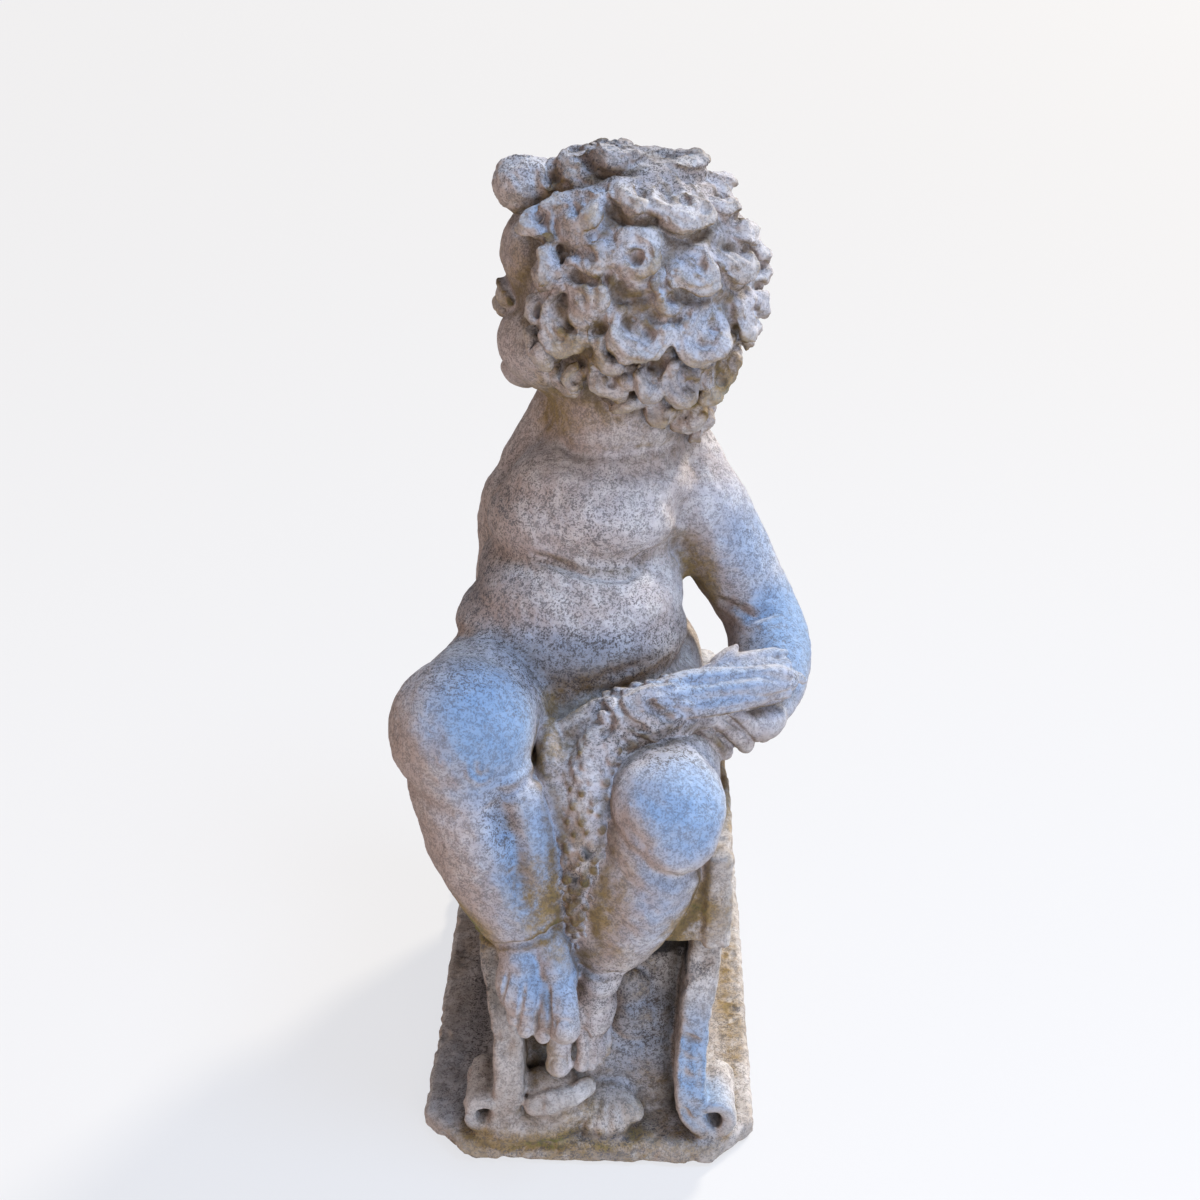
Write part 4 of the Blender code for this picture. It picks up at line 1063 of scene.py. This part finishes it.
def paint(pieces):
    """Puts the masks on every point: fine and broad hollows, which also carry painted shade, ridges, dark grey
    lichen that is painted shadow in some places, moss, undersides for painted shade, painted bluish skylight
    where the stone faces the open sky, and painted shade on the other side."""
    data = [(points_of(p.data), normals_of(p.data), vertex_areas(p.data)) for p in pieces]
    fine, broad = hollows(data, 0.0028, 0.0045), hollows(data, 0.0056, 0.016)
    start = 0
    for piece, (points, normals, _) in zip(pieces, data):
        here = slice(start, start + len(points))
        start += len(points)
        masks = {"hollow": np.clip(-fine[here] * 2.6, 0, 1), "ridge": np.clip(fine[here] * 2.4, 0, 1),
                 "deep": np.clip(-broad[here] * 2.2 + 0.05, 0, 1), "lichen_and_shadow": zone(points, LICHEN_AND_SHADOW_PLACES),
                 "moss": zone(points, MOSS), "down": np.clip(-normals[:, 2], 0, 1),
                 "painted_skylight": np.clip(normals @ (0.50, -0.50, 0.71) + 0.15, 0, 1) * (0.12 + zone(points, PAINTED_SKYLIGHT_PLACES)),
                 "shade": np.clip(normals @ (-0.88, -0.30, -0.36), 0, 1)}
        for name, values in masks.items():
            rows = piece.data.attributes.new(name, "FLOAT", "POINT").data
            rows.foreach_set("value", values.astype(np.float32))


# ---------------------------------------------------------------- material

# Colours: the bluish one is painted skylight; the reddish brown, the underside and crease ones are painted
# shade; black moss and lichen grey are painted shadow in some places
CHALK, PAINTED_SKYLIGHT_BLUE = (0.64, 0.60, 0.59), (0.165, 0.310, 0.530)
PAINTED_SHADE_BROWN, PAINTED_UNDERSIDE_SHADE = (0.32, 0.215, 0.170), (0.30, 0.235, 0.175)
OCHRE, OLIVE = (0.270, 0.185, 0.085), (0.165, 0.155, 0.045)
SPECK, LICHEN_GREY_AND_SHADOW, BLACK_MOSS_AND_SHADOW = (0.085, 0.076, 0.078), (0.120, 0.112, 0.120), (0.024, 0.024, 0.026)
WORN_RIDGE, CREASE_SHADE = (0.66, 0.63, 0.62), (0.100, 0.072, 0.042)


def stone(name, pale, warm, moss_and_shade_level, painted_skylight):
    """Weathered cast stone: pale and warm patches, dark specks, dark grey lichen, ochre moss in hollows, and
    painted bluish skylight, painted shade and painted shadow.
    """
    material = bpy.data.materials.new(name)
    material.use_nodes = True
    tree = material.node_tree
    shader = tree.nodes["Principled BSDF"]
    coords = tree.nodes.new("ShaderNodeTexCoord").outputs["Object"]

    def put(socket, value):
        if isinstance(value, bpy.types.NodeSocket):
            tree.links.new(value, socket)
        else:
            socket.default_value = (*value, 1.0) if isinstance(value, tuple) else value

    def noise(scale, detail, rough):
        node = tree.nodes.new("ShaderNodeTexNoise")
        for field, value in (("Scale", scale), ("Detail", detail), ("Roughness", rough), ("Vector", coords)):
            put(node.inputs[field], value)
        return node.outputs["Fac"]

    def cells(scale):
        node = tree.nodes.new("ShaderNodeTexVoronoi")
        put(node.inputs["Scale"], scale)
        put(node.inputs["Vector"], coords)
        return node.outputs["Distance"]

    def math_node(operation, a, b, clamp=False):
        node = tree.nodes.new("ShaderNodeMath")
        node.operation = operation
        node.use_clamp = clamp
        for socket, value in zip(node.inputs, (a, b)):
            put(socket, value)
        return node.outputs[0]

    def times(a, b, clamp=False):
        return math_node("MULTIPLY", a, b, clamp)

    def plus(a, b):
        return math_node("ADD", a, b)

    def ramp(value, low, high):
        node = tree.nodes.new("ShaderNodeMapRange")
        node.interpolation_type = "SMOOTHSTEP"
        node.inputs["From Min"].default_value = low
        node.inputs["From Max"].default_value = high
        tree.links.new(value, node.inputs["Value"])
        return node.outputs["Result"]

    def mix(factor, a, b):
        node = tree.nodes.new("ShaderNodeMix")
        node.data_type = "RGBA"
        for field, value in (("Factor", factor), ("A", a), ("B", b)):
            put(node.inputs[field], value)
        return node.outputs["Result"]

    def mask(attribute):
        node = tree.nodes.new("ShaderNodeAttribute")
        node.attribute_name = attribute
        return node.outputs["Fac"]

    colour = mix(ramp(noise(14.0, 5.0, 0.62), 0.36, 0.64), pale, warm)
    colour = mix(times(ramp(noise(46.0, 6.0, 0.7), 0.46, 0.62), 0.60), colour, CHALK)
    # painted bluish skylight in its places; painted shade, reddish brown, where the stone turns from the sky
    colour = mix(times(ramp(mask("painted_skylight"), 0.05, 1.0), painted_skylight), colour, PAINTED_SKYLIGHT_BLUE)
    colour = mix(times(ramp(mask("shade"), 0.10, 0.90), 0.66), colour, PAINTED_SHADE_BROWN)
    # painted shade: darker and browner on faces turned down
    colour = mix(times(ramp(mask("down"), 0.10, 0.95), 0.62), colour, PAINTED_UNDERSIDE_SHADE)
    # ochre and moss where the moss places are, and in hollows and under ledges, where it is partly painted
    # shade
    ochre_and_shade = plus(times(mask("moss"), 0.60), times(mask("deep"), 0.50))
    ochre_and_shade = plus(ochre_and_shade, times(mask("hollow"), 0.34))
    ochre_and_shade = plus(ochre_and_shade, times(mask("down"), 0.22))
    ochre_and_shade = times(ochre_and_shade, plus(times(noise(42.0, 8.0, 0.8), 3.4), -0.85))
    colour = mix(times(ramp(ochre_and_shade, 0.10, 0.62), moss_and_shade_level), colour, OCHRE)
    colour = mix(times(ramp(times(ochre_and_shade, noise(17.0, 5.0, 0.65)), 0.30, 0.56), moss_and_shade_level), colour, OLIVE)
    # dark grey lichen: patches in its places, and thin everywhere; in some places it is painted shadow
    grow = plus(times(mask("lichen_and_shadow"), 0.62), 0.10)
    grow = plus(grow, times(ramp(noise(9.0, 5.0, 0.6), 0.45, 0.75), 0.30))
    specks, coarse = noise(640.0, 3.0, 0.75), noise(190.0, 4.0, 0.7)
    speck = ramp(plus(times(specks, 0.60), times(coarse, 0.40)), 0.484, 0.570)
    colour = mix(times(speck, plus(times(grow, 1.20), 0.31), clamp=True), colour, SPECK)
    colour = mix(times(ramp(grow, 0.34, 0.85), 0.62), colour, LICHEN_GREY_AND_SHADOW)
    colour = mix(times(ramp(plus(grow, times(coarse, 1.2)), 1.35, 1.75), 0.90), colour, BLACK_MOSS_AND_SHADOW)
    # pale worn ridges, and painted shade darkening the creases
    colour = mix(times(mask("ridge"), 0.26), colour, WORN_RIDGE)
    colour = mix(times(mask("hollow"), 0.54), colour, CREASE_SHADE)
    put(shader.inputs["Base Color"], colour)
    put(shader.inputs["Roughness"], 0.93)
    put(shader.inputs["Specular IOR Level"], 0.15)
    # grain: sand, pits and soft pocks
    height = plus(times(noise(260.0, 5.0, 0.75), 0.9), times(speck, -0.35))
    height = plus(height, times(ramp(cells(120.0), 0.05, 0.42), 0.40))
    height = plus(height, times(noise(70.0, 5.0, 0.65), 1.1))
    bump = tree.nodes.new("ShaderNodeBump")
    for field, value in (("Strength", 0.75), ("Distance", 0.0016), ("Height", height)):
        put(bump.inputs[field], value)
    put(shader.inputs["Normal"], bump.outputs["Normal"])
    return material


# ---------------------------------------------------------------- stage

MIDDLE = (0.0, 0.0, 0.40)
SUN_ANGLE = 9.0
# Name, place, target, size (0 is a far sun), power and colour
LAMPS = (("sky_lamp", (0.70, -0.30, 2.2), MIDDLE, 0.8, 36.0, (0.52, 0.72, 1.0)),
         ("front_lamp", (0.8, -2.0, 1.2), MIDDLE, 1.0, 14.5, (1.0, 0.87, 0.80)),
         ("cool_lamp", (0.75, -1.10, 0.30), (0.0, -0.15, 0.20), 0.5, 6.0, (0.55, 0.72, 1.0)),
         ("left_lamp", (-1.8, -1.0, 0.6), MIDDLE, 1.4, 10.0, (1.0, 0.74, 0.60)),
         ("low_sun", (1.3, 1.5, 1.9), MIDDLE, 0, 4.6, (1.0, 0.88, 0.68)))
SKY_COLOUR, SKY_STRENGTH = (0.94, 0.94, 1.0, 1.0), 0.28
FLOOR_COLOUR, FLOOR_GLOW, FLOOR_REACH = (0.120, 0.121, 0.1255), 5.75, 14.0
CAMERA_PLACE, CAMERA_DOWN, CAMERA_ASIDE = (0.03944, -1.18090, 1.06783), 28.286, 1.671


def plain(name, colour, rough, glow=0.0):
    material = bpy.data.materials.new(name)
    material.use_nodes = True
    shader = material.node_tree.nodes["Principled BSDF"]
    shader.inputs["Base Color"].default_value = (*colour, 1.0)
    shader.inputs["Roughness"].default_value = rough
    shader.inputs["Emission Color"].default_value = (*colour, 1.0)
    shader.inputs["Emission Strength"].default_value = glow
    return material


def lamp(name, place, target, size, watts, colour):
    """A round soft lamp; one of size 0 is a far sun, whose strength is watts per square metre."""
    light = bpy.data.lights.new(name, "AREA" if size else "SUN")
    if size:
        light.shape = "DISK"
        light.size = size
    else:
        light.angle = math.radians(SUN_ANGLE)
    light.energy = watts
    light.color = colour
    thing = bpy.data.objects.new(name, light)
    bpy.context.scene.collection.objects.link(thing)
    thing.location = place
    way = np.array(target) - np.array(place)
    flat = math.hypot(way[0], way[1])
    thing.rotation_euler = (math.atan2(flat, -way[2]), 0.0, math.atan2(way[1], way[0]) - math.pi / 2)


def set_stage():
    """A pale floor, soft light from all round, cool lamps above and low on the right, warm ones in front and on
    the left, and a warm sun behind."""
    corners = np.array([(x * FLOOR_REACH, y * FLOOR_REACH, LOW[2])
                        for x, y in ((-1, -1), (1, -1), (1, 1), (-1, 1))])
    floor = new_piece("floor", to_mesh("floor", [(corners, np.array(((0, 1, 2), (0, 2, 3))))]))
    floor.data.materials.append(plain("pale_floor", FLOOR_COLOUR, 0.9, FLOOR_GLOW))
    scene = bpy.context.scene
    scene.world = bpy.data.worlds.new("soft_daylight")
    scene.world.use_nodes = True
    sky = scene.world.node_tree.nodes["Background"]
    sky.inputs["Color"].default_value = SKY_COLOUR
    sky.inputs["Strength"].default_value = SKY_STRENGTH
    for row in LAMPS:
        lamp(*row)
    camera = bpy.data.cameras.new("camera")
    camera.lens = 48.0
    camera.sensor_width = 36.0
    thing = bpy.data.objects.new("camera", camera)
    scene.collection.objects.link(thing)
    thing.location = CAMERA_PLACE + LOW * (0, 0, 1)
    thing.rotation_euler = (math.radians(90 - CAMERA_DOWN), 0.0, math.radians(CAMERA_ASIDE))
    scene.camera = thing
    scene.view_settings.view_transform = "Standard"


# ---------------------------------------------------------------- making

def make():
    """Builds, weathers, thins and paints the four pieces, and sets them where the frame's statue stands."""
    built = {"figure": build_figure(), "hair": build_hair(), "sheaf": build_sheaf(), "stool": build_stool()}
    for seed, (name, depth) in enumerate(WORN.items()):
        weather(built[name], depth, 10 * seed)
        thin(built[name], FACES[name])
    paint(built.values())
    skin = stone("weathered_stone", (0.50, 0.46, 0.475), (0.43, 0.365, 0.345), 1.0, 0.84)
    base = stone("weathered_stone_of_the_stool", (0.46, 0.43, 0.42), (0.39, 0.33, 0.285), 1.0, 0.80)
    for name, piece in built.items():
        mesh = piece.data
        points = points_of(mesh) + BASE
        points[:, 2] = np.maximum(points[:, 2], LOW[2])
        set_points(mesh, points)
        mesh.polygons.foreach_set("use_smooth", np.ones(len(mesh.polygons), dtype=bool))
        mesh.materials.clear()
        mesh.materials.append(base if name == "stool" else skin)
        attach(piece, "root")
        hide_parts(NODE)


make()
set_stage()
